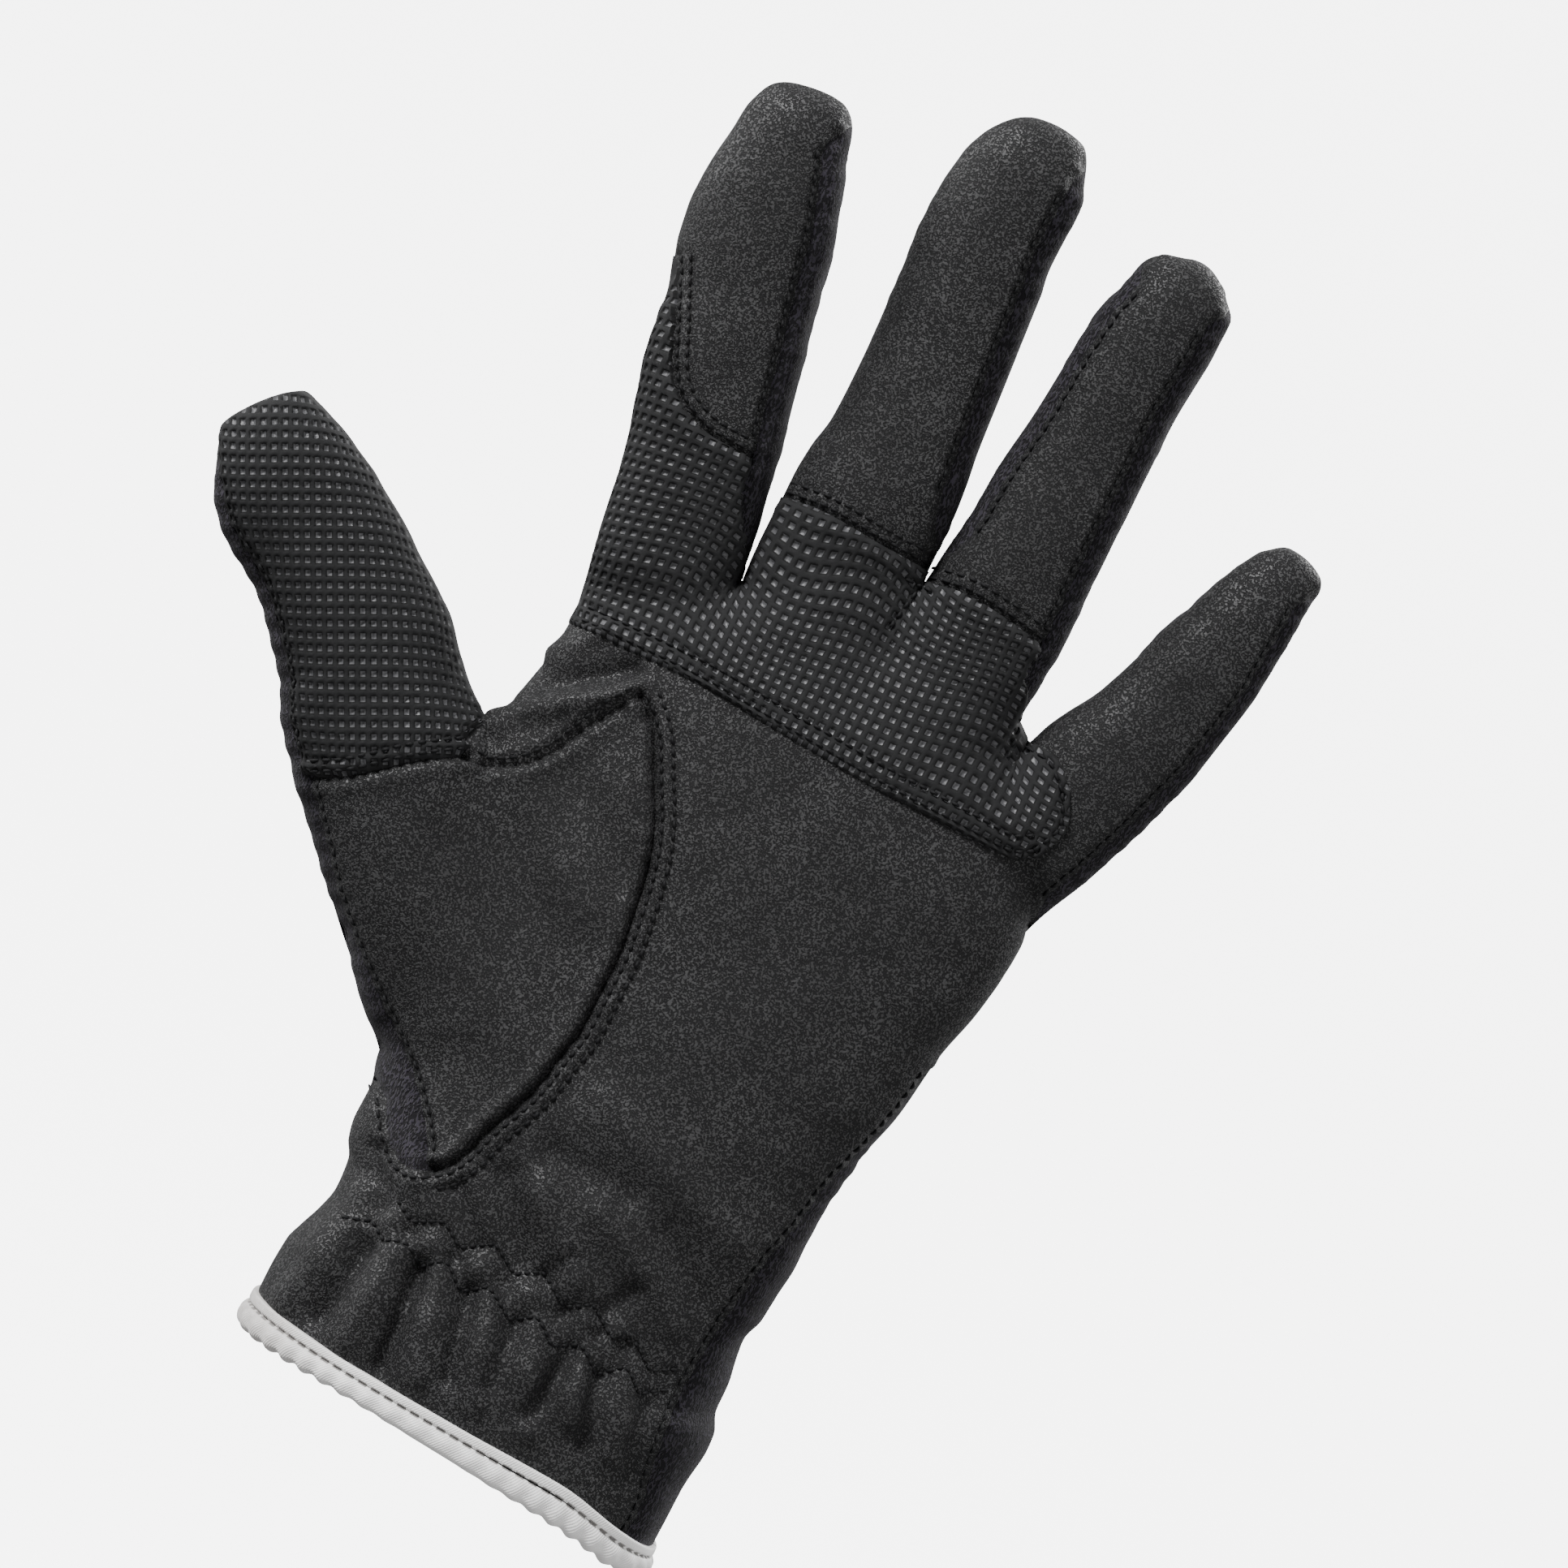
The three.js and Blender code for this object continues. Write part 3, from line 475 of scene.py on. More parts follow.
# Places where seams meet, and the seams themselves.
SEAM_FOOT, THUMB_EDGE_FOOT, WEDGE_FROM = (-20.5, 39.3), (-21.5, 39.5), (-36.2, 46.5)
GRIP_FROM, GRIP_TO, FLAP_TOP = (-66.4, 85.6), (-45.5, 100.3), (-25.5, 121.3)
FOLD_END, UNDER_PATCH, PATCH_CORNER = (32, 35), (-26, 129.5), (43, 139)
INDEX_CROTCH, WEB, RING_SHOULDER, RING_LITTLE = (-19.6, 145.2), (6.6, 147), (33, 143.6), (34, 143.3)
ULNAR_X, PATCH_LOW_Z, TUCK = 34, 126.6, 3.0
THUMB_SEAM = curve(
    SEAM_FOOT, (-18.8, 40.6), (-16.7, 44.6), (-15.5, 48.9), (-12.7, 55.4), (-11.3, 59.8),
    (-10.6, 64.3), (-9.4, 70.2), (-9.4, 82), (-10.4, 90.5), (-12, 98.7), (-14.2, 104.7),
    (-17.4, 110.6), (-21.1, 117.1), FLAP_TOP,
)
THUMB_EDGE = curve(
    THUMB_EDGE_FOOT, (-24, 43.5), (-27, 47), (-31, 51), (-39, 57.5), (-51, 67.8), (-64.9, 83.4),
    GRIP_FROM,
)
GRIP_SEAM = curve(GRIP_FROM, (-61.6, 88.2), (-57.3, 91.6), (-53.6, 94.8), (-49.5, 97.8), GRIP_TO)
FLAP_SEAM = curve(
    GRIP_TO, (-43.9, 99.8), (-39.1, 101.7), (-34.4, 106.2), (-30.3, 113.9), (-28.3, 117.3), FLAP_TOP,
)
GUSSET_EDGE = curve(GRIP_TO, (-46.1, 101.5), (-46.7, 103.6), THUMB.edge(1, THUMB_JOIN))
WEDGE_EDGE = curve(
    WEDGE_FROM, (-33.4, 45.2), (-30.5, 41.3), (-27.5, 38.4), (-24.5, 37.7), (-21.5, 38.6), SEAM_FOOT,
)
ULNAR_SEAM = curve(
    (ULNAR_X, -1), (ULNAR_X, 5), (32.5, 15), (31.5, 25), FOLD_END, (34, 50), (36, 58),
    *[(palm_right(z) - gap, z)
      for z, gap in ((64, 1.9), (70, 1.1), (76, 0.55), (82, 0.2), (88, 0))],
)
PATCH_LOW = curve(
    (palm_left(PATCH_LOW_Z), PATCH_LOW_Z), (-19.3, 127.2), (0, 126), (20, 125), (38, 124.8),
    (43, 127),
)
PATCH_END = curve((43, 127), (45.3, 133), PATCH_CORNER)
PATCH_SIDE = curve(RING_LITTLE, (38, 143), PATCH_CORNER)
KNUCKLE_LINE = curve(INDEX.edge(-1, INDEX_KNUCKLE), INDEX_CROTCH)
INDEX_SEAM = curve(
    INDEX.edge(-1, INDEX_SEAM_FROM), (-48, 177), (-44, 169), (-39, 165), (-33, 163.5),
    INDEX.edge(1, INDEX_SEAM_TO, inset("index", 1, PALM_SIDE, INDEX_SEAM_TO)),
)
MIDDLE_SEAM = curve(
    MIDDLE.edge(-1, MIDDLE_SEAM_FROM), (-12, 161), (0, 160.4),
    MIDDLE.edge(1, MIDDLE_SEAM_TO),
)
RING_SEAM = curve(
    RING.edge(-1, RING_SEAM_FROM), (14, 159.6), (22, 158.9),
    RING.edge(1, RING_SEAM_TO, inset("ring", 1, PALM_SIDE, RING_SEAM_TO)),
)
TAPE_TOP = curve((-39, 8), (-20, 6.5), (0, 5.5), (20, 4.5), (32, 1.5), (40, -0.5))
TAPE_LOW = curve((-39, 2), (-20, 1.6), (0, 0.3), (10, -0.6), (20, -1.6), (28, -3), (34, -4.6), (40, -5))
LITTLE_SEAM = np.array([(34.0, 129.0), LITTLE.edge(1, LITTLE_ROOT)])


def tape_top(x):
    """z of the tape's upper edge."""
    return np.interp(x, TAPE_TOP[:, 0], TAPE_TOP[:, 1])


def tape_low(x):
    """z of the tape's lower edge."""
    return np.interp(x, TAPE_LOW[:, 0], TAPE_LOW[:, 1])


# Grooves pressed by the seams on the palm's side: line, half width, depth, height of the lips beside.
GROOVES = [
    (THUMB_SEAM, 0.75, 1.3, 0.5), (THUMB_EDGE, 0.8, 0.6, 0.2), (GRIP_SEAM, 0.7, 0.8, 0.25),
    (FLAP_SEAM, 0.8, 0.8, 0.3), (GUSSET_EDGE, 0.7, 0.6, 0.2), (WEDGE_EDGE, 0.8, 0.6, 0.2),
    (ULNAR_SEAM, 0.8, 0.6, 0.2), (INDEX_SEAM, 0.6, 0.6, 0.2), (MIDDLE_SEAM, 0.6, 0.6, 0.2),
    (RING_SEAM, 0.6, 0.6, 0.2),
] + [
    (front_edge(digit, sign, start, TIP_TO, 40), 0.7, 0.6, 0.2)
    for digit, sign, start in (
        ("index", 1, 0.25), ("middle", 1, 0.36), ("ring", -1, 0.38), ("ring", 1, 0.25),
        ("little", 1, 0.05), ("thumb", -1, 0.52),
    )
]
# Folds of the palm's side: start, end, half width, height. A valley's height is below 0.
FOLDS = [
    ((-28.1, 24.5), (-31.9, 9.7), 2.4, 1.2), ((-24.5, 23.7), (-26.3, 10.4), 1.7, -1.5),
    ((-19.6, 25.6), (-20.3, 9.2), 2.5, 1.4), ((-15.1, 24.2), (-13.9, 8.2), 1.7, -2.0),
    ((-12, 25.8), (-7.7, 9.7), 2.4, 1.2), ((-6.4, 24.9), (-3.3, 11.5), 1.6, -1.3),
    ((-2.9, 25.4), (2.3, 10), 2.3, 1.0), ((2.6, 24.1), (3.1, 13.6), 1.6, -1.0),
    ((5.6, 24.5), (12.1, 9.6), 2.2, 0.9), ((12.4, 23.7), (10.8, 12.2), 1.7, -1.6),
    ((13.8, 24.2), (17.2, 14.4), 2.0, 1.1), ((18.4, 22.5), (20.6, 11.8), 1.5, -1.0),
    ((21.8, 24.2), (24.9, 11.9), 2.1, 0.9), ((27, 21.5), (30, 10.2), 1.6, -0.8),
    ((-29, 30.5), (-31.5, 19.6), 2.4, 0.9), ((-30.8, 37.1), (-25.6, 30.1), 1.9, -1.2),
    ((-22.3, 37.1), (-17.9, 32.9), 1.9, 0.8), ((-15.4, 38.5), (-9, 32.1), 1.8, -0.9),
    ((-9.5, 43.6), (-1.7, 32.6), 2.6, -1.3), ((-3.1, 43.7), (8.1, 34.4), 3.0, 1.1),
    ((3, 32), (5.5, 37), 1.6, -0.8), ((14, 31.5), (17, 37), 1.6, -0.7),
    ((6.7, 45.5), (24.7, 35.4), 3.4, 1.0), ((-4.4, 50.5), (8, 49.6), 3.2, -1.0),
    ((17.5, 46.5), (27, 40), 3.0, -0.9), ((-0.6, 61), (26.8, 51), 3.6, 0.9),
    ((-28.8, 104.7), (-13, 95), 4.2, -0.6),
    ((-38, 100), (-18, 87), 5.0, 0.7), ((-40, 76), (-20, 62), 5.0, 0.5),
    ((-26, 121.3), (-36.3, 114.2), 1.7, 1.3), ((-38.7, 112), (-45.3, 105.8), 1.7, 1.3),
    ((-29, 124.5), (-40, 116.5), 1.7, -1.2), ((-41, 121), (-35, 128), 1.8, 0.9),
]
# Puffs and hollows between the zigzag rows over the elastic: x, z, half width, height.
PUFFS = [(x, 28.8, 2.2, 0.9) for x in (-22.5, -15, -6.5, 2.5, 12.5, 17.5)] + [
    (x, 28.4, 1.4, -0.9) for x in (-19.5, -11, -2, 8, 15, 19)
]
# The same for the back, and its gathers over the elastic: x and half width.
BACK_FOLDS = [
    ((-36, 168), (-28, 170), 1.2, -0.6), ((-12, 176), (-2, 177), 1.2, -0.6),
    ((14, 170), (24, 168.5), 1.2, -0.6), ((44, 150), (53, 146), 1.2, -0.5),
    ((-30, 132), (-22, 134), 3.5, 0.8), ((-7, 133), (3, 134), 3.5, 0.8),
    ((17, 131), (25, 130), 3.5, 0.8),
    ((37, 121), (43, 119), 3.0, 0.7), ((-62, 92), (-70, 104), 1.4, -0.6),
    ((-36, 88), (-28, 74), 3.0, -0.8), ((-33, 60), (-14, 50), 2.6, -1.0),
    ((-30, 52), (-6, 44), 2.4, 0.8),
    ((30, 62), (10, 50), 2.6, -0.9), ((33, 54), (16, 44), 2.4, 0.8), ((-8, 60), (8, 56), 3.0, -0.7),
    ((-46, 100), (-40, 84), 2.2, 0.9),
]
BACK_GROOVES = [
    (rear_edge(digit, sign, start, TIP_TO, 40), 0.7, 0.6, 0.2)
    for digit, sign, start in (
        ("index", 1, 0.34), ("middle", -1, 0.34), ("middle", 1, 0.44), ("ring", -1, 0.44),
        ("ring", 1, 0.3), ("little", -1, 0.44),
    )
] + [(across("thumb", THUMB_JOIN), 0.7, 0.6, 0.2)]
BACK_GATHERS = [(x, 1.7 + 0.3 * (k % 2)) for k, x in enumerate(range(-30, 34, 7))]
# Heights of folds (a share), gathers, puckers along a groove, and the sink of the stitches; how far the
# puckers and lips lie; and the slow waves of the cloth: height, size, seed.
FOLD_STRENGTH, GATHER_HEIGHT, PUCKER_HEIGHT, STITCH_SINK = 1.3, 2.2, 0.16, 0.32
PUCKER_PITCH, PUCKER_WIDTH, LIP_PLACE, LIP_WIDTH, SINK_WIDTH = 4.1, 2.2, 1.9, 1.1, 0.65
SLOW_WAVES = (0.5, 17, 1), (0.16, 5.5, 2)

# A dart below the crotch of the middle and ring fingers, and the tacks that lock the crotches.
DART = curve((6.3, 156.5), (5.6, 152.5), (5, 149))
TACK = curve((3.4, 157.4), (6.3, 157.2), (9.2, 157.3))
CORNER_TACK = curve((30.4, 144.5), (30.9, 141.5), (31.2, 138.5))


def zigzag(peaks, valleys):
    """A zigzag line through peaks and valleys, from left to right."""
    return np.array(sorted([*peaks, *valleys]), float)


UPPER_ZIGZAG = zigzag(
    [(-23.5, 32.5), (-15, 33), (-6.3, 33.5), (2.7, 33), (12, 32), (21, 29.5), (29, 28.5)],
    [(-19.5, 30.5), (-11, 30.4), (-1.5, 30.5), (8, 29.5), (17, 28.5), (25, 26.5)],
)
LOWER_ZIGZAG = zigzag(
    [(-25.5, 27.5), (-18.3, 27), (-11.5, 27.5), (-4, 27), (5, 26.3), (13, 25.5), (21, 25.5), (29, 25)],
    [(-29, 25), (-22, 25.5), (-15.5, 25), (-8, 24.5), (1, 24), (9, 23.3), (17.5, 22.5), (25, 22.5)],
)


def stitch_rows():
    """Every row of stitches on the palm's side: its line, and whether it lies on the grip patch."""
    patch_row = walk(PATCH_LOW, np.linspace(0.025, 1, 60))
    rows = [(beside(line, off), on_patch) for line, offs, on_patch in (
        (THUMB_SEAM, (-1.2, -3.1), False), (GRIP_SEAM, (1.2, 2.9), False),
        (patch_row, (1.3, 3.6), True), (INDEX_SEAM, (1.0, 2.6), False),
        (MIDDLE_SEAM, (1.0, 2.6), False), (RING_SEAM, (1.0, 2.6), False),
        (PATCH_SIDE, (-1.3,), True), (PATCH_END, (1.3,), True), (FLAP_SEAM, (1.3,), False),
        (THUMB_EDGE, (-1.2,), False), (ULNAR_SEAM, (1.2,), False), (WEDGE_EDGE, (-1.2,), False),
    ) for off in offs]
    rows += [(DART, True), (TACK, True), (CORNER_TACK, True)]
    for digit, sign, start in (
        ("index", 1, 0.4), ("middle", 1, 0.42), ("ring", 1, 0.34), ("ring", -1, 0.42),
        ("little", 1, 0.08), ("thumb", -1, 0.55),
    ):
        rows.append((beside(front_edge(digit, sign, start, 0.9, 60), sign * 1.1), False))
    return rows


STITCH_ROWS = stitch_rows()
BACK_ROWS = [
    beside(line, off)
    for (line, *_), off in zip(BACK_GROOVES, (1.1, -1.1, 1.1, -1.1, 1.1, -1.1, 1.2))
]
STITCH_LINES = [line[:: max(len(line) // 40, 1)] for line, _ in STITCH_ROWS]
STITCH_LINES += [UPPER_ZIGZAG, LOWER_ZIGZAG]


def relief(x, z, side):
    """Height of grooves, lips, puckers, folds, puffs, gathers and the stitches' sink over the smooth
    skin. Each is a height times exp(-(d / w)^2), where d is the distance to its line or centre and w its
    half width. They die away at the outline, where the slow waves of the cloth keep two fifths."""
    shape, x, z = x.shape, x.ravel(), z.ravel()
    own = np.zeros_like(x)

    def near(line, reach):
        """Which points lie within reach of a line's box."""
        low, high = line.min(0) - reach, line.max(0) + reach
        return np.flatnonzero((x > low[0]) & (x < high[0]) & (z > low[1]) & (z < high[1]))

    for line, width, depth, lip in GROOVES if side == PALM_SIDE else BACK_GROOVES:
        here = near(line, 6)
        gap, run = nearest(line, x[here], z[here])
        wave = PUCKER_HEIGHT * np.sin(run * 2 * np.pi / PUCKER_PITCH)
        pucker = wave * np.exp(-(gap / PUCKER_WIDTH) ** 2)
        rise = lip * np.exp(-((gap - LIP_PLACE) / LIP_WIDTH) ** 2)
        own[here] += rise + pucker - depth * np.exp(-(gap / width) ** 2)
    for start, end, width, height in FOLDS if side == PALM_SIDE else BACK_FOLDS:
        line = np.array([start, end], float)
        here = near(line, 3 * width)
        gap = nearest(line, x[here], z[here])[0]
        own[here] += FOLD_STRENGTH * height * np.exp(-(gap / width) ** 2)
    if side == PALM_SIDE:
        for at_x, at_z, width, height in PUFFS:
            own += FOLD_STRENGTH * height * np.exp(-((x - at_x) ** 2 + (z - at_z) ** 2) / width ** 2)
        for line in STITCH_LINES:
            here = near(line, 1.6)
            gap = nearest(line, x[here], z[here])[0]
            own[here] -= STITCH_SINK * np.exp(-(gap / SINK_WIDTH) ** 2)
    else:
        window = smoothstep(z, 6, 16) * (1 - smoothstep(z, 34, 52))
        for at_x, width in BACK_GATHERS:
            drift = at_x + 2.0 * cloth_noise(z * 0 + at_x, z, 12, 5)
            own += window * GATHER_HEIGHT * np.exp(-((x - drift) / width) ** 2)
        own += 0.5 * cloth_noise(x * 0.5, z, 7, 8) * smoothstep(z, 40, 70)
    slow = sum(height * cloth_noise(x, z, size, seed) for height, size, seed in SLOW_WAVES)
    shown = smoothstep(closed(half_depth(x, z)), 0, 3)
    return (slow * (0.4 + 0.6 * shown) + own * shown).reshape(shape)


def skin(x, z, side, lift=0.0):
    """Points of the finished skin, raised by lift, and the outward directions there."""
    points, normals = bare_skin(x, z, side)
    rise = relief(x, z, side) + lift
    return points + normals * rise[..., None], normals


# Grids


def spacing(count, low, high):
    """Shares from 0 to 1, drawn together by a cosine towards each end that lies on the outline,
    where the skin turns edge-on."""
    s = np.linspace(0, 1, count)
    if low and high:
        return (1 - np.cos(np.pi * s)) / 2
    if low:
        return 1 - np.cos(np.pi * s / 2)
    return np.sin(np.pi * s / 2) if high else s


def fill(bottom, right, top, left, cell, edge_on=""):
    """A Coons patch: a grid of (x, z) points blended between four lines. bottom and top run left to
    right, left and right run upward. edge_on holds l, r, b and t for sides on the outline."""
    left, right = join(bottom[0], left, top[0]), join(bottom[-1], right, top[-1])
    wide = max(arc(bottom)[-1], arc(top)[-1]) / cell * (1.35 if "l" in edge_on or "r" in edge_on else 1)
    tall = max(arc(left)[-1], arc(right)[-1]) / cell * (1.25 if "t" in edge_on or "b" in edge_on else 1)
    u = spacing(max(int(wide), 3) + 1, "l" in edge_on, "r" in edge_on)
    v = spacing(max(int(tall), 3) + 1, "b" in edge_on, "t" in edge_on)
    low, high = pinned(bottom, u)[None], pinned(top, u)[None]
    near, far = pinned(left, v)[:, None], pinned(right, v)[:, None]
    u, v = u[None, :, None], v[:, None, None]
    corners = (
        (1 - u) * (1 - v) * low[:, :1] + u * (1 - v) * low[:, -1:]
        + (1 - u) * v * high[:, :1] + u * v * high[:, -1:]
    )
    return (1 - v) * low + v * high + (1 - u) * near + u * far - corners


def tile(side, *lines, cell, edge_on="", lift=None, weave=None):
    """A panel of skin over a filled outline: its points, outward directions and pattern places. A woven
    one sinks into the dents of its lattice, as far as the pattern's third part lets them show."""
    flat = fill(*lines, cell, edge_on)
    x, z = flat[..., 0], flat[..., 1]
    raised = 0.0 if lift is None else lift(x, z)
    if weave is None:
        pattern = np.stack([x, z, 0 * x], -1)
    else:
        pattern = weave(x, z)
        first, second, shown = np.moveaxis(pattern, -1, 0)
        raised = raised - dents(first, second) * shown * sizes()["well_depth"]
    points, normals = skin(x, z, side, raised)
    return points, normals, pattern


def band(digit, sign, start, cell):
    """A strip round a digit's outline, from the fork's front edge to its back edge. The inset grows
    with the square of the place across, so the cells stay even where the skin turns edge-on."""
    along = np.linspace(start, TIP_TO, int((TIP_TO - start) * DIGITS[digit].reach / cell) + 1)
    place = np.linspace(-1, 1, 13)
    parts = []
    for side, places in ((PALM_SIDE, place[:7]), (BACK_SIDE, place[6:])):
        width = inset(digit, sign, side, along)
        flat = np.stack([DIGITS[digit].edge(sign, along, width * p * p) for p in places], 1)
        points, normals = skin(flat[..., 0], flat[..., 1], side)
        parts.append((points, normals, np.stack([flat[..., 0], flat[..., 1], 0 * flat[..., 0]], -1)))
    front, back = parts
    return tuple(np.concatenate([a, b[:, 1:]], 1) for a, b in zip(front, back))


# Meshes


def make_mesh(name, points, faces, pattern, weld=0.002):
    """An object at the origin from points in table millimetres, faces as index rows of one length,
    and a pattern place for each point."""
    mesh = bpy.data.meshes.new(name)
    mesh.vertices.add(len(points))
    mesh.vertices.foreach_set("co", (points * UNIT).ravel())
    corners = faces.shape[1]
    mesh.loops.add(faces.size)
    mesh.loops.foreach_set("vertex_index", faces.ravel().astype(np.int32))
    mesh.polygons.add(len(faces))
    mesh.polygons.foreach_set("loop_start", np.arange(0, faces.size, corners, dtype=np.int32))
    mesh.update(calc_edges=True)
    places = mesh.attributes.new("pattern", "FLOAT_VECTOR", "POINT")
    places.data.foreach_set("vector", pattern.ravel().astype(np.float32))
    form = bmesh.new()
    form.from_mesh(mesh)
    if weld:
        bmesh.ops.remove_doubles(form, verts=form.verts, dist=weld * UNIT)
        bmesh.ops.dissolve_degenerate(form, edges=form.edges, dist=weld * UNIT / 4)
    form.to_mesh(mesh)
    form.free()
    mesh.polygons.foreach_set("use_smooth", np.ones(len(mesh.polygons), bool))
    mesh.set_sharp_from_angle(angle=SHARP)
    piece = bpy.data.objects.new(name, mesh)
    bpy.context.scene.collection.objects.link(piece)
    return piece


def make_shell(name, tiles, wall):
    """A walled piece from tiles of skin: each tile's grid faces outward, the same grid moved inward by
    the wall faces the hand, and a rim joins their borders."""
    points, faces, pattern, base = [], [], [], 0
    for place, normals, marks in tiles:
        rows, columns = place.shape[:2]
        index = np.arange(rows * columns).reshape(rows, columns)
        outer = np.stack(
            [index[:-1, :-1], index[:-1, 1:], index[1:, 1:], index[1:, :-1]], -1
        ).reshape(-1, 4)
        border = np.concatenate([index[0, :-1], index[:-1, -1], index[-1, :0:-1], index[:0:-1, 0]])
        onward, under = np.roll(border, -1), index.size
        rim = np.stack([onward, border, border + under, onward + under], -1)
        quads = np.vstack([outer, outer[:, ::-1] + under, rim])
        flat, out = place.reshape(-1, 3), normals.reshape(-1, 3)
        slant, other = flat[outer[:, 2]] - flat[outer[:, 0]], flat[outer[:, 3]] - flat[outer[:, 1]]
        facing = np.cross(slant, other)
        if (facing * out[outer[:, 0]]).sum() < 0:
            quads = quads[:, ::-1]
        points += [flat, flat - out * wall]
        faces.append(quads + base)
        pattern += [marks.reshape(-1, 3)] * 2
        base += 2 * len(flat)
    return make_mesh(name, np.vstack(points), np.vstack(faces), np.vstack(pattern))


def dress(piece, material, slot, *nodes):
    """Gives a piece its material and body, and hides the imported parts of the nodes that it stands for.
    Its slot is not used.
    """
    piece.data.materials.append(material)
    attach(piece, "root")
    if nodes:
        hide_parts(*nodes)


# Materials


class Wire:
    """A shader value that can be written in sums, as in (1 - mask) * 0.4."""

    def __init__(self, finish, socket):
        self.finish, self.socket = finish, socket

    def math(self, operation, first, second=0.0):
        return self.finish.node("ShaderNodeMath", {"operation": operation}, {0: first, 1: second})

    def __add__(self, other):
        return self.math("ADD", self, other)

    def __sub__(self, other):
        return self.math("SUBTRACT", self, other)

    def __rsub__(self, other):
        return self.math("SUBTRACT", other, self)

    def __mul__(self, other):
        return self.math("MULTIPLY", self, other)

    def __truediv__(self, other):
        return self.math("DIVIDE", self, other)

    def __abs__(self):
        return self.math("ABSOLUTE", self)

    __radd__, __rmul__ = __add__, __mul__


class Finish:
    """A material built from nodes. Its constants are set straight on the shader."""

    def __init__(self, name, **constants):
        self.material = bpy.data.materials.new(name)
        self.material.use_nodes = True
        self.tree = self.material.node_tree
        self.shader = self.tree.nodes["Principled BSDF"]
        for key, value in constants.items():
            self.shader.inputs[key.replace("_", " ")].default_value = value

    def node(self, kind, settings=None, sockets=None, output=0):
        """Adds a node: its settings first, then the values or wires of its sockets."""
        made = self.tree.nodes.new(kind)
        for key, value in (settings or {}).items():
            setattr(made, key, value)
        for key, value in (sockets or {}).items():
            if isinstance(value, Wire):
                self.tree.links.new(value.socket, made.inputs[key])
            else:
                made.inputs[key].default_value = value
        return Wire(self, made.outputs[output])

    def feed(self, **wires):
        """Links wires to the shader's sockets."""
        for key, wire in wires.items():
            self.tree.links.new(wire.socket, self.shader.inputs[key.replace("_", " ")])

    def object_place(self, stretch=(1, 1, 1)):
        """Object coordinates in millimetres, stretched on each axis."""
        place = self.node("ShaderNodeTexCoord", output="Object")
        scale = tuple(share / UNIT for share in stretch)
        return self.node("ShaderNodeMapping", {}, {"Vector": place, "Scale": scale})

    def pattern(self):
        """The piece's own pattern place, as three wires."""
        place = self.node("ShaderNodeAttribute", {"attribute_name": "pattern"}, output="Vector")
        return [self.node("ShaderNodeSeparateXYZ", {}, {0: place}, axis) for axis in range(3)]

    def noise(self, place, size, detail=2.0, rough=0.5, seed=0.0):
        """Noise from 0 to 1 whose waves are about size millimetres long."""
        return self.node("ShaderNodeTexNoise", {"noise_dimensions": "4D"}, {
            "Vector": place, "W": seed, "Scale": 1 / size, "Detail": detail, "Roughness": rough,
        })

    def step(self, wire, low, high):
        """0 below low and 1 above high, smooth between. high below low turns it round."""
        start, end = (0.0, 1.0) if low < high else (1.0, 0.0)
        return self.node("ShaderNodeMapRange", {"interpolation_type": "SMOOTHSTEP"}, {
            "Value": wire, "From Min": min(low, high), "From Max": max(low, high),
            "To Min": start, "To Max": end,
        })

    def fraction(self, wire):
        """The part of a value after its whole number."""
        return self.node("ShaderNodeMath", {"operation": "FRACT"}, {0: wire})

    def mix(self, share, first, second):
        """Blends two colours."""
        return self.node("ShaderNodeMix", {"data_type": "RGBA"}, {0: share, 6: first, 7: second}, 2)

    def bump(self, height, millimetres):
        """Turns a height from 0 to 1 into a normal."""
        return self.node("ShaderNodeBump", {}, {"Height": height, "Distance": millimetres * UNIT})


def shade(colour_value, factor):
    """A colour made lighter or darker."""
    return tuple(min(part * factor, 1) for part in colour_value[:3]) + (1,)


def leather_finish(tint):
    """Dark leather with short worm-like pits: where one noise crosses its middle, and a second
    one cuts the crossings into dashes."""
    finish = Finish("leather", Roughness=0.5, Specular_IOR_Level=0.3)
    place = finish.object_place()
    crossing = finish.step(abs(finish.noise(place, 0.52, 1.0) - 0.5), 0.15, 0.06)
    dashes = finish.step(finish.noise(place, 0.42, 1.0, seed=3.0), 0.38, 0.47)
    pits = crossing * dashes
    cloudy = finish.noise(place, 14, 3.0, seed=5.0)
    fine = finish.noise(place, 0.35, 2.0, seed=8.0)
    dull, bright = shade(tint["leather"], 0.8), shade(tint["leather"], 1.25)
    face = finish.mix(finish.step(cloudy, 0.3, 0.7), dull, bright)
    finish.feed(
        Base_Color=finish.mix(pits * 0.97, face, tint["pit"]),
        Roughness=0.44 + fine * 0.12 + pits * 0.25,
        Normal=finish.bump(fine * 0.3 - pits, 0.28),
    )
    return finish.material


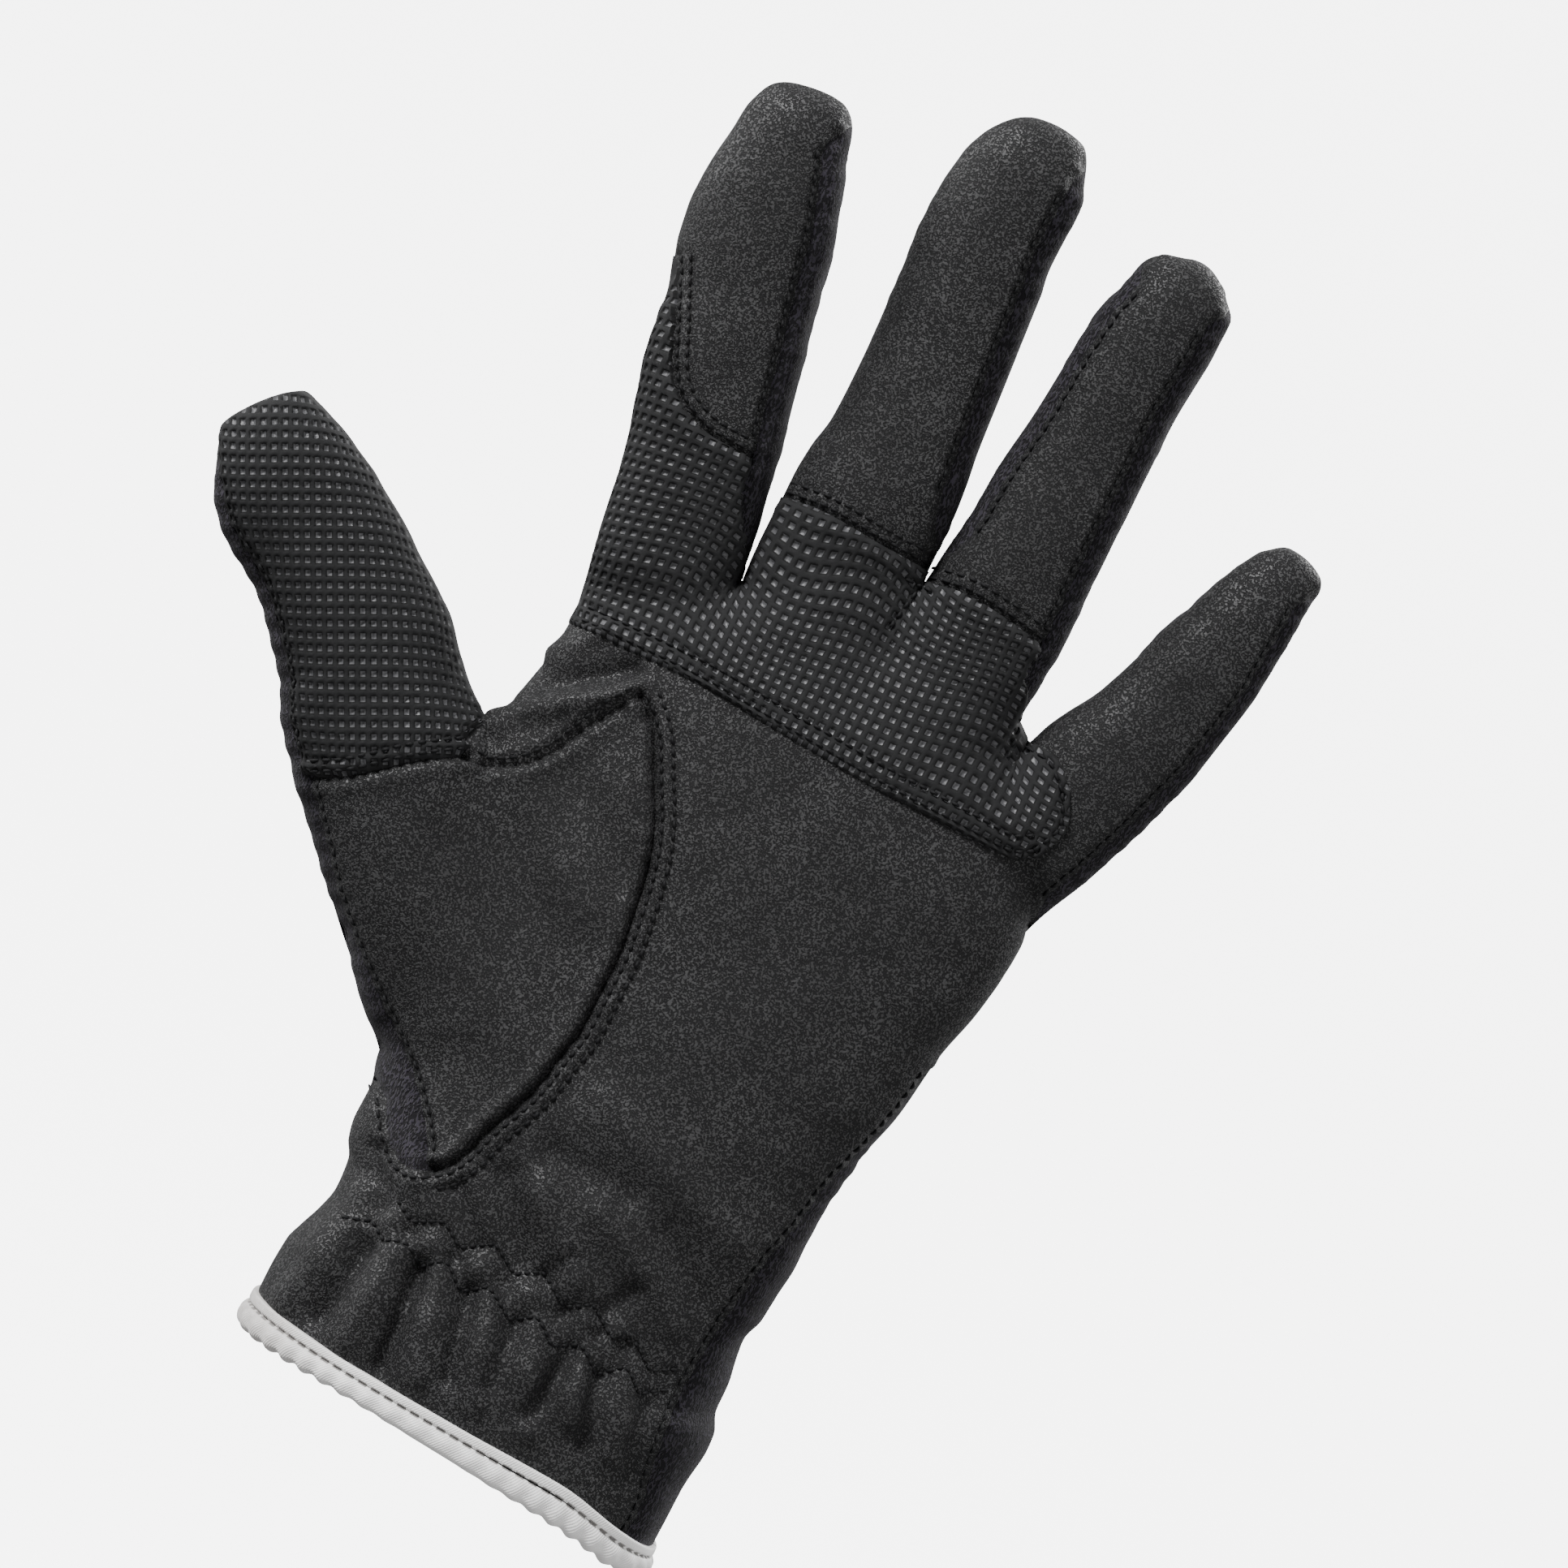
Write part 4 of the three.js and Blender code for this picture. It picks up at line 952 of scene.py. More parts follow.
def net_finish(tint):
    """A dark rubber net with glossy square dents, by the pattern's own lattice. Each dent's bottom is
    painted light grey as a painted reflection, and a ring of painted shade darkens its walls. The
    pattern's third part says how far the dents show."""
    finish = Finish("grip_net", Specular_IOR_Level=0.35)
    place = finish.object_place()
    first, second, shown = finish.pattern()
    out = [abs(finish.fraction(share) - 0.5) for share in (first, second)]
    # well: each dent's bottom, painted light grey as a painted reflection and given a lower roughness.
    well = finish.step(out[0], 0.26, 0.2) * finish.step(out[1], 0.25, 0.19) * shown
    # dent_wall_shade: a ring round each dent where the grip colour is darkened to 0.15, painted shade on
    # the dent walls.
    dent_wall_shade = finish.step(out[0], 0.36, 0.3) * finish.step(out[1], 0.35, 0.29) * shown
    fine = finish.noise(place, 0.3, 2.0)
    strand = finish.mix(fine, shade(tint["grip"], 0.75), shade(tint["grip"], 1.35))
    # Base colour: painted reflection in the dent bottoms and painted shade on the walls round them, over
    # the net.
    finish.feed(
        Base_Color=finish.mix(well, finish.mix(dent_wall_shade, strand, shade(tint["grip"], 0.15)), tint["well"]),
        Roughness=0.82 - well * 0.42 + fine * 0.1,
        Normal=finish.bump(fine, 0.05),
    )
    return finish.material


def knit_finish(tint):
    """A fine knit: short upright dashes of lighter loops on a dark ground."""
    finish = Finish("knit", Roughness=0.85, Sheen_Weight=0.06, Sheen_Roughness=0.5,
                    Specular_IOR_Level=0.2)
    place = finish.object_place((1.5, 1.5, 0.75))
    loops = finish.step(finish.noise(place, 0.6, 1.0), 0.46, 0.58)
    cloudy = finish.noise(place, 12, 2.0, seed=2.0)
    finish.feed(
        Base_Color=finish.mix(loops * (0.35 + cloudy * 0.5), tint["knit"], tint["fleck"]),
        Normal=finish.bump(loops, 0.45),
    )
    return finish.material


def tape_finish(tint):
    """Satin tape with fine slanting ribs, greyer towards its thumb end on the palm's side. The pattern
    holds the way round the cuff, the way across the tape and how far it greys there."""
    finish = Finish("satin_tape", Roughness=0.42, Sheen_Weight=0.3)
    round_way, cross_way, greying = finish.pattern()
    ribs = finish.node("ShaderNodeMath", {"operation": "SINE"}, {0: (round_way + cross_way * 0.7) * 13})
    fine = finish.noise(finish.object_place(), 0.8, 3.0)
    clean = finish.mix(ribs * 0.12 + 0.12, tint["tape"], shade(tint["tape"], 0.7))
    # The tape turns grey towards its thumb end, blotched by noise.
    greyed = finish.mix(greying * (0.4 + fine * 0.5), clean, tint["tape_shade"])
    dash = finish.step(abs(finish.fraction(round_way / 2.4) - 0.5), 0.36, 0.3)
    dash = dash * finish.step(abs(cross_way - 2.0), 0.42, 0.28)
    finish.feed(
        Base_Color=finish.mix(dash * 0.85, greyed, shade(tint["tape_shade"], 0.35)),
        Normal=finish.bump(ribs * 0.3 + fine * 0.5, 0.08),
    )
    return finish.material


def thread_finish(tint):
    """Twisted thread: fine slanting ridges."""
    finish = Finish("thread", Roughness=0.7, Specular_IOR_Level=0.2)
    fine = finish.noise(finish.object_place(), 0.25, 2.0)
    finish.feed(
        Base_Color=finish.mix(fine, shade(tint["thread"], 0.7), shade(tint["thread"], 2.2)),
        Normal=finish.bump(fine, 0.08),
    )
    return finish.material


def floor_finish(tint):
    """Pale matt floor, lit from within so that it stays even."""
    finish = Finish("floor", Roughness=0.9, Emission_Color=(1, 1, 1, 1), Emission_Strength=5.5)
    fine = finish.noise(finish.object_place(), 400, 2.0)
    finish.feed(Base_Color=finish.mix(fine, shade(tint["floor"], 0.98), tint["floor"]))
    return finish.material


FINISHES = {
    "leather": leather_finish, "net": net_finish, "knit": knit_finish, "tape": tape_finish,
    "thread": thread_finish, "floor": floor_finish,
}


def material(name):
    """The named finish, made once."""
    made = bpy.data.materials.get("glove_" + name)
    if made is None:
        made = FINISHES[name](colours())
        made.name = "glove_" + name
    return made


# The grip net

# The dents fade where the half depth falls between these, in millimetres.
NET_FADE = 1.8, 4.5
PATCH_PITCH, THUMB_PITCH, THUMB_TURN = (1.95, 1.85), (1.75, 2.0), math.radians(27)


def lattice(first, second, deep):
    """A pattern of two lattice places and how far the dents show at a half depth."""
    return np.stack([first, second, smoothstep(closed(deep), *NET_FADE)], -1)


def dents(across_share, up_share):
    """How deep a lattice place lies in a square dent, from 0 on the net to 1 at the bottom."""
    out = [np.abs(share - np.floor(share) - 0.5) * 2 for share in (across_share, up_share)]
    return (1 - smoothstep(out[0], 0.4, 0.66)) * (1 - smoothstep(out[1], 0.38, 0.64))


def arc_spread(digit, x, z):
    """How much further the skin reaches than its shadow, from a digit's axis out to a place: its
    section is taken as round, so an offset of r sin a stands for an arc of r a."""
    side = (x - digit.root[0]) * digit.cosine - (z - digit.root[1]) * digit.sine
    along = digit.along(x, z)
    half = np.maximum(np.sqrt(digit.half_squared(along)), 1) * 1.03
    out = np.clip((side - digit.aside(along)) / half, -1, 1)
    return half * (np.arcsin(out) - out)


def patch_weave(x, z):
    """The patch's lattice: rows along x, bent gently, spread round the finger crotches and carried
    evenly round the index finger's outer side."""
    deep = half_depth(x, z)
    x = x + np.minimum(arc_spread(INDEX, x, z), 0)
    bend = 0.5 * np.sin(x / 13) + 0.35 * np.sin(z / 9 + x / 21)
    spread = 0
    for at_x, at_z in (INDEX_CROTCH, (6.6, 160), RING_LITTLE):
        far = (x - at_x) ** 2 + (z - at_z) ** 2
        spread = spread + (x - at_x) * 0.55 * np.exp(-far / 150)
    return lattice((x + bend) / PATCH_PITCH[0], (z + bend + spread) / PATCH_PITCH[1], deep)


def thumb_weave(x, z):
    """The thumb's lattice: rows that rise at 27 degrees. Its places are first moved out from the
    thumb's axis by the arc that lies over them, so that the lattice keeps its size at the sides."""
    deep, spread = half_depth(x, z), arc_spread(THUMB, x, z)
    x, z = x + spread * THUMB.cosine, z - spread * THUMB.sine
    cosine, sine = math.cos(THUMB_TURN), math.sin(THUMB_TURN)
    first, second = (x * cosine + z * sine), (z * cosine - x * sine)
    return lattice(first / THUMB_PITCH[0], second / THUMB_PITCH[1], deep)


# Stitching


def stitches(line, side=PALM_SIDE, lift=0.0, pitch=None, long=None):
    """A row of stitches on a line: each is a thread with round ends that arches out of the skin.
    Returns points and quads."""
    size = sizes()
    pitch, long = pitch or size["stitch_pitch"], long or size["stitch"]
    radius = size["thread"] / 2
    total = arc(line)[-1]
    count = max(int(total / pitch), 1)
    centre = (np.arange(count) + 0.5) * total / count
    tail, tail_out = skin(*walk(line, (centre - long / 2) / total).T, side, lift)
    head, head_out = skin(*walk(line, (centre + long / 2) / total).T, side, lift)
    out = (tail_out + head_out)[:, None] / 2
    way = (head - tail)[:, None]
    cross = np.cross(way, out)
    cross /= np.linalg.norm(cross, axis=-1, keepdims=True)
    share = np.array([0, 0.1, 0.35, 0.65, 0.9, 1])
    girth = np.array([0.25, 0.85, 1, 1, 0.85, 0.25]) * radius
    arch = radius * (1.3 * np.sin(np.pi * share) - 0.3)
    turn = np.arange(6) * np.pi / 3
    spot = tail[:, None] + way * share[:, None] + out * arch[:, None]
    ring = np.cos(turn)[:, None] * cross[:, :, None] + np.sin(turn)[:, None] * out[:, :, None]
    points = spot[:, :, None] + ring * girth[:, None, None]
    index = np.arange(36).reshape(6, 6)
    ahead = np.roll(index, -1, axis=1)
    quads = np.stack([index[:-1], ahead[:-1], ahead[1:], index[1:]], -1).reshape(-1, 4)
    caps = np.array([(5, 4, 3, 2), (5, 2, 1, 0), (30, 31, 32, 33), (30, 33, 34, 35)])
    quads = np.vstack([quads, caps])
    every = (quads[None] + 36 * np.arange(count)[:, None, None]).reshape(-1, 4)
    return points.reshape(-1, 3), every


# Operators

SLOTS = {"leather": "leather", "net": "grip", "knit": "knit"}
# In millimetres: cells of the narrow strips, z of the hem's ends and of the thumb's web, the rounding of
# the patch, the rise of the thumb's net, and the lift, pitch and length of the smaller stitches.
STRIP_CELL, BAND_CELL = 0.6, 0.8
HEM_LEFT_Z, HEM_RIGHT_Z, WEB_Z = 8, 0, 107
PATCH_ROUND, THUMB_NET_RISE = 0.9, 0.15
STITCH_LIFT, ZIGZAG_PITCH, ZIGZAG_STITCH = 0.05, 1.4, 1.1


def panel(name, tiles, finish, node, rise=0.0):
    """A walled piece of tiles in a finish, which stands for a node. Its wall is thicker by rise."""
    shell = make_shell(name, tiles, sizes()["wall"] + rise)
    dress(shell, material(finish), SLOTS[finish], node)


def hem_line(left, right, count):
    """The line, tucked under the tape, on which the panels end at the cuff."""
    x = np.linspace(left, right, count)
    return np.stack([x, tape_top(x) - TUCK], -1)


class GLOVE_OT_palm(bpy.types.Operator):
    """Adds the leather palm: wrist, palm and the little finger's front"""

    bl_idname = "glove.palm"
    bl_label = "Palm"
    bl_options = {"REGISTER", "UNDO"}

    def execute(self, context):
        cell = sizes()["leather_cell"]
        hem = hem_line(palm_left(HEM_LEFT_Z), ULNAR_X, 40)
        fold = curve(SEAM_FOOT, FOLD_END)
        below = ULNAR_SEAM[:, 1] < FOLD_END[1]
        wrist_right = join(hem[-1], ULNAR_SEAM[below][1:], FOLD_END)
        palm_right_side = join(FOLD_END, ULNAR_SEAM[~below], palm_edge(1, 88.5, LITTLE_ROOT_Z))
        tiles = [
            tile(PALM_SIDE, hem, wrist_right, join(WEDGE_EDGE, fold[1:]),
                 palm_edge(-1, hem[0, 1], WEDGE_FROM[1]), cell=cell, edge_on="l"),
            tile(PALM_SIDE, fold, palm_right_side, join(UNDER_PATCH, LITTLE_SEAM),
                 join(THUMB_SEAM, UNDER_PATCH), cell=cell, edge_on="r"),
            tile(PALM_SIDE, LITTLE_SEAM, front_edge("little", 1, LITTLE_ROOT),
                 LITTLE.tip(TIP_FROM, TIP_TO),
                 join(LITTLE_SEAM[0], RING_LITTLE, outline("little", -1, 0.32, TIP_FROM)),
                 cell=cell, edge_on="lrt"),
        ]
        panel("palm_leather", tiles, "leather", "palm")
        return {"FINISHED"}


class GLOVE_OT_thumb_leather(bpy.types.Operator):
    """Adds the thumb's leather base and the folded gusset beside the index finger"""

    bl_idname = "glove.thumb_leather"
    bl_label = "Thumb leather"
    bl_options = {"REGISTER", "UNDO"}

    def execute(self, context):
        cell = sizes()["leather_cell"]
        base = tile(PALM_SIDE, curve(THUMB_EDGE_FOOT, SEAM_FOOT), THUMB_SEAM,
                    join(GRIP_SEAM, FLAP_SEAM[1:]), THUMB_EDGE, cell=cell)
        panel("thumb_base_leather", [base], "leather", "thumb_base")
        gusset = tile(
            PALM_SIDE, FLAP_SEAM, curve(FLAP_TOP, UNDER_PATCH),
            curve(INDEX.edge(-1, INDEX_ROOT), UNDER_PATCH),
            join(GUSSET_EDGE, palm_edge(-1, WEB_Z, INDEX_ROOT_Z)), cell=cell, edge_on="l",
        )
        panel("thumb_gusset_leather", [gusset], "leather", "thumb_gusset")
        return {"FINISHED"}


class GLOVE_OT_finger_fronts(bpy.types.Operator):
    """Adds the leather fronts of the index, middle and ring fingers"""

    bl_idname = "glove.finger_fronts"
    bl_label = "Finger fronts"
    bl_options = {"REGISTER", "UNDO"}

    def execute(self, context):
        cell = sizes()["leather_cell"]
        fronts = {
            "index": (INDEX_SEAM, front_edge("index", 1, INDEX_SEAM_TO),
                      outline("index", -1, INDEX_SEAM_FROM, TIP_FROM)),
            "middle": (MIDDLE_SEAM, front_edge("middle", 1, MIDDLE_SEAM_TO),
                       outline("middle", -1, MIDDLE_SEAM_FROM, TIP_FROM)),
            "ring": (RING_SEAM, front_edge("ring", 1, RING_SEAM_TO),
                     front_edge("ring", -1, RING_SEAM_FROM)),
        }
        for name, (bottom, right, left) in fronts.items():
            tip = DIGITS[name].tip(TIP_TO if name == "ring" else TIP_FROM, TIP_TO)
            front = tile(PALM_SIDE, bottom, right, tip, left, cell=cell, edge_on="lrt")
            panel(name + "_front_leather", [front], "leather", name + "_front")
        return {"FINISHED"}


class GLOVE_OT_grip(bpy.types.Operator):
    """Adds the rubber net over the knuckles and on the thumb"""

    bl_idname = "glove.grip"
    bl_label = "Grip net"
    bl_options = {"REGISTER", "UNDO"}

    def execute(self, context):
        size = sizes()
        cell, rise = size["grip_cell"], size["patch_rise"]
        edges = [PATCH_LOW, PATCH_END, PATCH_SIDE, front_edge("index", 1, 0.2, 0.36, 20),
                 front_edge("ring", 1, 0.2, RING_SEAM_TO, 20)]

        def rounded(x, z):
            """The patch stands proud by its rise, less towards the outline. Within PATCH_ROUND of its
            edges it falls in a quarter round to 0.35 of that."""
            gap = np.full(x.size, 10 * PATCH_ROUND)
            for edge in edges:
                gap = np.minimum(gap, nearest(edge, x.ravel(), z.ravel())[0])
            share = np.clip(gap.reshape(x.shape) / PATCH_ROUND, 0, 1)
            proud = 0.25 + 0.75 * smoothstep(half_depth(x, z), 1, 7)
            return rise * proud * (0.35 + 0.65 * np.sqrt(1 - (1 - share) ** 2))

        web = curve(INDEX_CROTCH, (5, 147), RING.edge(1, RING_FORK))
        common = dict(cell=cell, lift=rounded, weave=patch_weave)
        tiles = [
            tile(PALM_SIDE, PATCH_LOW, PATCH_END,
                 join(KNUCKLE_LINE, web[1:], RING_SHOULDER, PATCH_SIDE),
                 join(palm_edge(-1, PATCH_LOW_Z, INDEX_ROOT_Z),
                      outline("index", -1, INDEX_ROOT, INDEX_KNUCKLE)), edge_on="l", **common),
            tile(PALM_SIDE, KNUCKLE_LINE,
                 join(front_edge("index", 1, INDEX_FORK, INDEX_SEAM_TO), INDEX_SEAM[::-1]),
                 INDEX_SEAM[[0, 0]], outline("index", -1, INDEX_KNUCKLE, INDEX_SEAM_FROM),
                 edge_on="l", **common),
            tile(PALM_SIDE, web, front_edge("ring", 1, RING_FORK, RING_SEAM_TO),
                 join(MIDDLE_SEAM, RING_SEAM), outline("middle", -1, MIDDLE_FORK, MIDDLE_SEAM_FROM),
                 edge_on="lr", **common),
        ]
        panel("knuckle_patch_net", tiles, "net", "knuckle_patch", rise)
        thumb = tile(
            PALM_SIDE, GRIP_SEAM, join(GUSSET_EDGE, outline("thumb", 1, 0.51, TIP_FROM)),
            THUMB.tip(TIP_TO, TIP_FROM), join(GRIP_SEAM[0], front_edge("thumb", -1, THUMB_FORK)),
            cell=cell, edge_on="lrt", lift=lambda x, z: THUMB_NET_RISE + 0 * x, weave=thumb_weave,
        )
        panel("thumb_grip_net", [thumb], "net", "thumb_grip_front")
        return {"FINISHED"}


class GLOVE_OT_knit(bpy.types.Operator):
    """Adds the knit back, the thumb's back and the forks between the fingers"""

    bl_idname = "glove.knit"
    bl_label = "Knit back and forks"
    bl_options = {"REGISTER", "UNDO"}

    def execute(self, context):
        even = dict(cell=sizes()["knit_cell"])
        finger = dict(even, edge_on="lrt")
        hem = hem_line(palm_left(HEM_LEFT_Z), palm_right(HEM_RIGHT_Z), 50)
        hem_z, ulnar_foot = hem[-1, 1], (ULNAR_X, hem[-1, 1])
        thumb_line = curve((palm_left(THUMB_ROOT_Z), THUMB_ROOT_Z), (-40, 60), (-42.5, 80),
                           (-44.6, 98), THUMB.edge(1, THUMB_JOIN))
        web_left, web_right = curve(INDEX_CROTCH, WEB), curve(WEB, RING.edge(1, RING_FORK))
        little_base = join(RING_LITTLE, (38, 140), LITTLE.edge(1, LITTLE_KNUCKLE))
        top = join(KNUCKLE_LINE, web_left[1:], web_right[1:], RING_SHOULDER, little_base)
        seam = across("thumb", THUMB_JOIN)
        thumb_side = curve(THUMB.edge(-1, THUMB_SIDE), THUMB_EDGE[-1])
        back_right = join(palm_edge(1, hem_z, LITTLE_ROOT_Z),
                          outline("little", 1, LITTLE_ROOT, LITTLE_KNUCKLE))
        back_left = join(palm_edge(-1, hem[0, 1], THUMB_ROOT_Z), thumb_line,
                         palm_edge(-1, WEB_Z, INDEX_ROOT_Z),
                         outline("index", -1, INDEX_ROOT, INDEX_KNUCKLE))
        tiles = [
            tile(BACK_SIDE, hem, back_right, top, back_left, edge_on="lr", **even),
            tile(BACK_SIDE, outline("thumb", -1, THUMB_ROOT, THUMB_JOIN)[::-1], thumb_line,
                 outline("thumb", 1, THUMB_JOIN, THUMB_JOIN), seam, edge_on="b", **even),
            tile(BACK_SIDE, KNUCKLE_LINE, rear_edge("index", 1, INDEX_FORK),
                 INDEX.tip(TIP_FROM, TIP_TO), outline("index", -1, INDEX_KNUCKLE, TIP_FROM), **finger),
            tile(BACK_SIDE, web_left, join(WEB, rear_edge("middle", 1, MIDDLE_SEAM_TO)),
                 MIDDLE.tip(TIP_TO, TIP_TO), rear_edge("middle", -1, MIDDLE_FORK), **finger),
            tile(BACK_SIDE, web_right, rear_edge("ring", 1, RING_FORK), RING.tip(TIP_TO, TIP_TO),
                 join(WEB, rear_edge("ring", -1, RING_SEAM_FROM)), **finger),
            tile(BACK_SIDE, little_base, outline("little", 1, LITTLE_KNUCKLE, TIP_FROM),
                 LITTLE.tip(TIP_TO, TIP_FROM), rear_edge("little", -1, LITTLE_FORK), **finger),
            tile(PALM_SIDE, curve(ulnar_foot, (palm_right(hem_z), hem_z)),
                 palm_edge(1, hem_z, 88), ULNAR_SEAM[[-1, -1]], join(ulnar_foot, ULNAR_SEAM[1:]),
                 edge_on="r", **even),
            tile(PALM_SIDE, WEDGE_EDGE, join(SEAM_FOOT, THUMB_EDGE), thumb_side,
                 join(palm_edge(-1, WEDGE_FROM[1], THUMB_ROOT_Z),
                      outline("thumb", -1, THUMB_ROOT, THUMB_SIDE)), edge_on="l", **even),
            tile(PALM_SIDE, LITTLE.edge(1, [LITTLE_ROOT, LITTLE_ROOT]),
                 outline("little", 1, LITTLE_ROOT, TIP_TO), LITTLE.edge(1, [TIP_TO, TIP_TO]),
                 front_edge("little", 1, LITTLE_ROOT), cell=STRIP_CELL, edge_on="r"),
        ]
        panel("hand_back_knit", tiles, "knit", "hand_back")
        thumb = [
            tile(BACK_SIDE, seam, outline("thumb", 1, THUMB_JOIN, TIP_FROM), THUMB.tip(TIP_TO, TIP_FROM),
                 outline("thumb", -1, THUMB_JOIN, TIP_TO), **finger),
            tile(PALM_SIDE, thumb_side, join(GRIP_SEAM[0], front_edge("thumb", -1, THUMB_FORK)),
                 THUMB.edge(-1, [TIP_TO, TIP_TO]), outline("thumb", -1, THUMB_SIDE, TIP_TO),
                 cell=STRIP_CELL, edge_on="l"),
        ]
        panel("thumb_back_knit", thumb, "knit", "thumb_back")
        forks = {
            "fork_index_middle": (("index", 1, 0.17), ("middle", -1, 0.16)),
            "fork_middle_ring": (("middle", 1, MIDDLE_SEAM_TO), ("ring", -1, RING_SEAM_FROM)),
            "fork_ring_little": (("ring", 1, RING_FORK), ("little", -1, LITTLE_FORK)),
        }
        for name, sides in forks.items():
            panel(name + "_knit", [band(*edge, BAND_CELL) for edge in sides], "knit", name)
        return {"FINISHED"}


# The tape's section: share of the way down, and distance outside the skin. Then z where the cuff is
# measured, the tape's height and the cuff's half depth, and its ripples' pitch, rise and drop.
TAPE_SECTION = np.array([
    (0, -0.4), (0.01, 0.3), (0.07, 0.62), (0.24, 0.66), (0.31, 0.3), (0.335, 0.08), (0.36, 0.3),
    (0.44, 0.8), (0.64, 1.15), (0.86, 0.95), (0.99, 0.2), (1.03, -0.7), (0.98, -1.6),
    (0.8, -2.1), (0.5, -2.2), (0.2, -2.1), (0.02, -1.7), (0, -0.4),
])
TAPE_Z, TAPE_HEIGHT, CUFF_DEEP = 5, 6, 25
RIPPLE_PITCH, RIPPLE_RISE, RIPPLE_DROP = 4.3, 0.28, 0.3


class GLOVE_OT_tape(bpy.types.Operator):
    """Adds the satin tape that binds the cuff inside and out"""

    bl_idname = "glove.tape"
    bl_label = "Cuff tape"
    bl_options = {"REGISTER", "UNDO"}

    def execute(self, context):
        run = np.linspace(0, 1, len(TAPE_SECTION))
        fine = np.linspace(0, 1, 52)[:-1]
        down, out = (monotone(run, TAPE_SECTION[:, k])(fine) for k in range(2))
        turn = np.linspace(0, 2 * np.pi, 421)[:-1]
        across_share, deep_share = (
            np.sign(part) * np.abs(part) ** (2 / PALM_ROUNDING) for part in (np.cos(turn), np.sin(turn))
        )
        left, right = palm_left(TAPE_Z), palm_right(TAPE_Z)
        x = (left + right) / 2 + across_share * (right - left) / 2
        high, low = tape_top(x), tape_low(x)
        z = high[:, None] + (low - high)[:, None] * down
        half = (palm_right(z) - palm_left(z)) / 2
        deep = palm_deep(z)
        face = np.stack([
            np.abs(share) ** (PALM_ROUNDING - 1) * np.sign(share) / reach[:, 0]
            for share, reach in ((across_share, half), (deep_share, deep))
        ], -1)
        face /= np.linalg.norm(face, axis=1, keepdims=True)
        way = np.concatenate([[0], np.cumsum(np.hypot(np.diff(x), np.diff(deep_share * CUFF_DEEP)))])
        ripple = np.sin(way * 2 * np.pi / RIPPLE_PITCH + 1.5 * np.sin(way / 7))
        scallop = RIPPLE_RISE * ripple[:, None] * np.exp(-((down - 0.7) / 0.25) ** 2)
        droop = ripple * (0.5 + 0.5 * np.sin(way / 9))
        z = z - RIPPLE_DROP * droop[:, None] * smoothstep(down, 0.5, 1)
        thick = out + scallop * (out > 0)
        base_x = (palm_left(z) + palm_right(z)) / 2 + across_share[:, None] * half
        points = np.stack([
            base_x + thick * face[:, :1], deep_share[:, None] * deep + thick * face[:, 1:], z,
        ], -1)
        # How far the tape greys: towards its thumb end, and on the palm's side.
        greying = (1 - smoothstep(x, -34, -16)) * smoothstep(-deep_share, -0.5, 0.2)
        marks = np.stack(np.broadcast_arrays(way[:, None], down * TAPE_HEIGHT, greying[:, None]), -1)
        rows, columns = points.shape[:2]
        index = np.arange(rows * columns).reshape(rows, columns)
        ahead, beyond = np.roll(index, -1, 0), np.roll(index, -1, 1)
        quads = np.stack([index, beyond, np.roll(beyond, -1, 0), ahead], -1).reshape(-1, 4)
        piece = make_mesh("cuff_tape", points.reshape(-1, 3), quads, marks.reshape(-1, 3), weld=0)
        dress(piece, material("tape"), "tape", "hem_tape")
        return {"FINISHED"}


class GLOVE_OT_stitching(bpy.types.Operator):
    """Adds every row of stitches"""

    bl_idname = "glove.stitching"
    bl_label = "Stitching"
    bl_options = {"REGISTER", "UNDO"}

    def execute(self, context):
        rise = sizes()["patch_rise"]
        parts = [
            stitches(line, lift=rise if on_patch else STITCH_LIFT) for line, on_patch in STITCH_ROWS
        ]
        parts += [
            stitches(line, lift=STITCH_LIFT, pitch=ZIGZAG_PITCH, long=ZIGZAG_STITCH)
            for line in (UPPER_ZIGZAG, LOWER_ZIGZAG)
        ]
        inner = np.linspace(0.06, 0.94, 60)
        parts += [stitches(walk(line, inner), BACK_SIDE, STITCH_LIFT) for line in BACK_ROWS]
        counts = np.cumsum([0] + [len(points) for points, _ in parts])
        points = np.vstack([points for points, _ in parts])
        quads = np.vstack([quads + start for (_, quads), start in zip(parts, counts)])
        piece = make_mesh("stitching", points, quads, points, weld=0)
        dress(piece, material("thread"), "leather")
        return {"FINISHED"}


# The stage, in metres and watts. The floor is flat out to its radius, then turns up in a quarter round
# to a wall. Each lamp has a spot about the view's centre, a width and a power.
FLOOR_RADIUS, FLOOR_DROP, WALL_TOP = 1.6, 0.35, 4.0
CAMERA_WAYS = (0.891, 0, 0.454), (-0.454, 0, 0.891), (0, -1, 0)
CAMERA_LENS, CAMERA_SENSOR = 135, 36
VIEW_CENTRE, VIEW_WIDTH = np.array([1.45, 0, 119.2]) * UNIT, 254.2 * UNIT
DAYLIGHT = 0.4
LAMPS = {
    "key": ((-0.95, -0.8, 1.05), 0.5, 50), "fill": ((1.3, -0.8, 0.1), 1.1, 8),
    "left": ((-1.4, 0.3, 0.5), 0.9, 18), "back": ((0.8, 1.0, 1.2), 0.9, 44),
}


def placed(ways, place):
    """The matrix of an object whose own x, y and z axes point in three ways, at a place."""
    return Matrix([[*(way[k] for way in ways), place[k]] for k in range(3)] + [[0, 0, 0, 1]])


